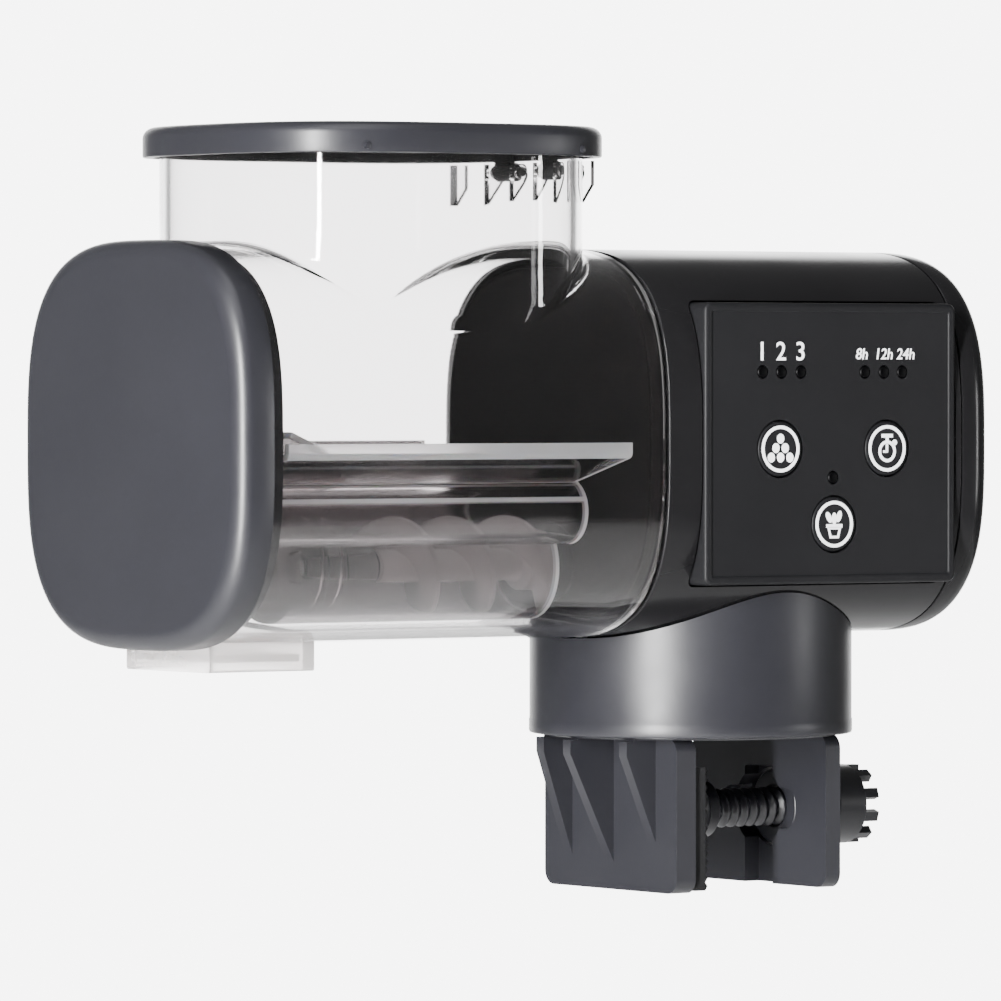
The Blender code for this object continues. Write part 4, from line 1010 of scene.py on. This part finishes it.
def clamp_knob():
    """A round knob with a crown of ten short prongs."""
    outer, recess = 6.9, 5.2
    back, front = 26.9, 33.2
    profile = [(back, 4.0), (back, outer - 0.7), (back + 0.2, outer - 0.3), (back + 0.6, outer),
               (front - 0.2, outer), (front, outer - 0.2), (front, recess), (front - 2.0, recess)]
    knob = turned("clamp_knob_body", "x", profile, "charcoal_plastic", SCREW_ORIGIN, steps=120)
    prongs = 10
    for index in range(prongs):
        prong = box("prong", (32.5, 5.35, -0.85), (35.9, outer - 0.1, 0.85), origin=SEAT)
        turn = Matrix.Rotation(TAU * (index + 0.5) / prongs, 4, 'X')
        prong.data.transform(Matrix.Translation(SCREW_ORIGIN) @ turn)
        combine(knob, prong, 'UNION')
    place(soften(knob, 0.25), "clamp_screw", "charcoal_plastic", "clamp_knob")
    head = [(31.5, 2.6), (32.5, 2.6), (32.85, 2.3), (33.0, 1.8)]
    screw = turned("knob_screw_head", "x", head, "steel", SCREW_ORIGIN, steps=48)
    for turn in (0, math.pi / 2):
        slot = box("cross_slot", (32.2, -1.6, -0.28), (34, 1.6, 0.28), origin=SEAT)
        slot.data.transform(Matrix.Translation(SCREW_ORIGIN) @ Matrix.Rotation(turn, 4, 'X'))
        combine(screw, slot, 'DIFFERENCE')
    place(screw, "clamp_screw", "steel", "knob_screw")


# --- stage ------------------------------------------------------------------------
BACKDROP_LIGHT = 7.0            # the bright wall opposite the camera
BACKDROP_EDGE = (0.86, 0.97)    # cosines from its direction between which the wall brightens
ROOM_LIGHT = 0.33
FLOOR_DROP = 0.22
FLOOR_HALF = 0.9


def add_stage():
    floor_z = cad_box[0][2] - FLOOR_DROP
    bm = bmesh.new()
    corners = [(-1, -1), (1, -1), (1, 1), (-1, 1)]
    bm.faces.new([bm.verts.new((a * FLOOR_HALF, b * FLOOR_HALF, floor_z)) for a, b in corners])
    mesh = bpy.data.meshes.new("floor")
    bm.to_mesh(mesh)
    bm.free()
    floor = bpy.data.objects.new("floor", mesh)
    bpy.context.scene.collection.objects.link(floor)
    pale = Look("floor_pale", (0.93, 0.93, 0.93), 0.7)
    pale.vary_colour(2, 0.01)
    mesh.materials.append(pale.material)
    world = bpy.data.worlds.new("studio")
    world.use_nodes = True
    tree = world.node_tree
    direction = tree.nodes.new("ShaderNodeTexCoord").outputs["Generated"]
    facing = tree.nodes.new("ShaderNodeVectorMath")
    facing.operation = 'DOT_PRODUCT'
    facing.inputs[1].default_value = (math.sin(VIEW_AZIMUTH), math.cos(VIEW_AZIMUTH), 0)
    tree.links.new(direction, facing.inputs[0])
    level = tree.nodes.new("ShaderNodeMapRange")
    level.interpolation_type = 'SMOOTHSTEP'
    level.inputs["From Min"].default_value = BACKDROP_EDGE[0]
    level.inputs["From Max"].default_value = BACKDROP_EDGE[1]
    level.inputs["To Min"].default_value = ROOM_LIGHT
    level.inputs["To Max"].default_value = BACKDROP_LIGHT
    tree.links.new(facing.outputs["Value"], level.inputs["Value"])
    background = tree.nodes["Background"]
    background.inputs["Color"].default_value = (1, 1, 1, 1)
    tree.links.new(level.outputs["Result"], background.inputs["Strength"])
    bpy.context.scene.world = world


def area_light(name, azimuth, elevation, distance, size, power, target=(-0.03, 0, 0.045)):
    """A soft box at an azimuth round the object: 0 is in front (-Y), 90 is to the right (+X)."""
    angle, rise = math.radians(azimuth), math.radians(elevation)
    direction = Vector((math.sin(angle) * math.cos(rise), -math.cos(angle) * math.cos(rise),
                        math.sin(rise)))
    data = bpy.data.lights.new(name, 'AREA')
    data.shape = 'RECTANGLE'
    data.size, data.size_y = size
    data.energy = power
    lamp = bpy.data.objects.new(name, data)
    turn = direction.to_track_quat('Z', 'Y').to_matrix().to_4x4()
    lamp.matrix_world = Matrix.Translation(Vector(target) + direction * distance) @ turn
    bpy.context.scene.collection.objects.link(lamp)


def add_lights():
    area_light("key", -75, 25, 1.2, (0.7, 0.9), 7)
    area_light("strip", -60, 0, 1.0, (0.075, 0.8), 110)
    area_light("cover", 52, 0, 1.0, (0.05, 0.25), 2.5)
    area_light("low_front", 35, -40, 1.2, (0.5, 0.3), 3)
    area_light("line", -35, 50, 1.0, (0.9, 0.05), 5)
    area_light("top", -20, 75, 1.1, (0.8, 0.5), 6)


add_camera()
dress_cad_nodes()
front_cap()
housing()
battery_cover()
collar()
lid()
food_container()
bulkhead()
hopper_floor()
funnel_front()
feed_auger()
auger_bearing()
outlet_gate()
control_panel()
light_guide()
for key, (key_x, key_z) in BUTTONS.items():
    button(key, key_x, key_z)
amount_print()
interval_print()
feed_print()
scale_prints()
clamp_bracket()
jaw_pad()
clamp_screw()
press_foot()
thread_insert()
clamp_knob()
add_stage()
add_lights()
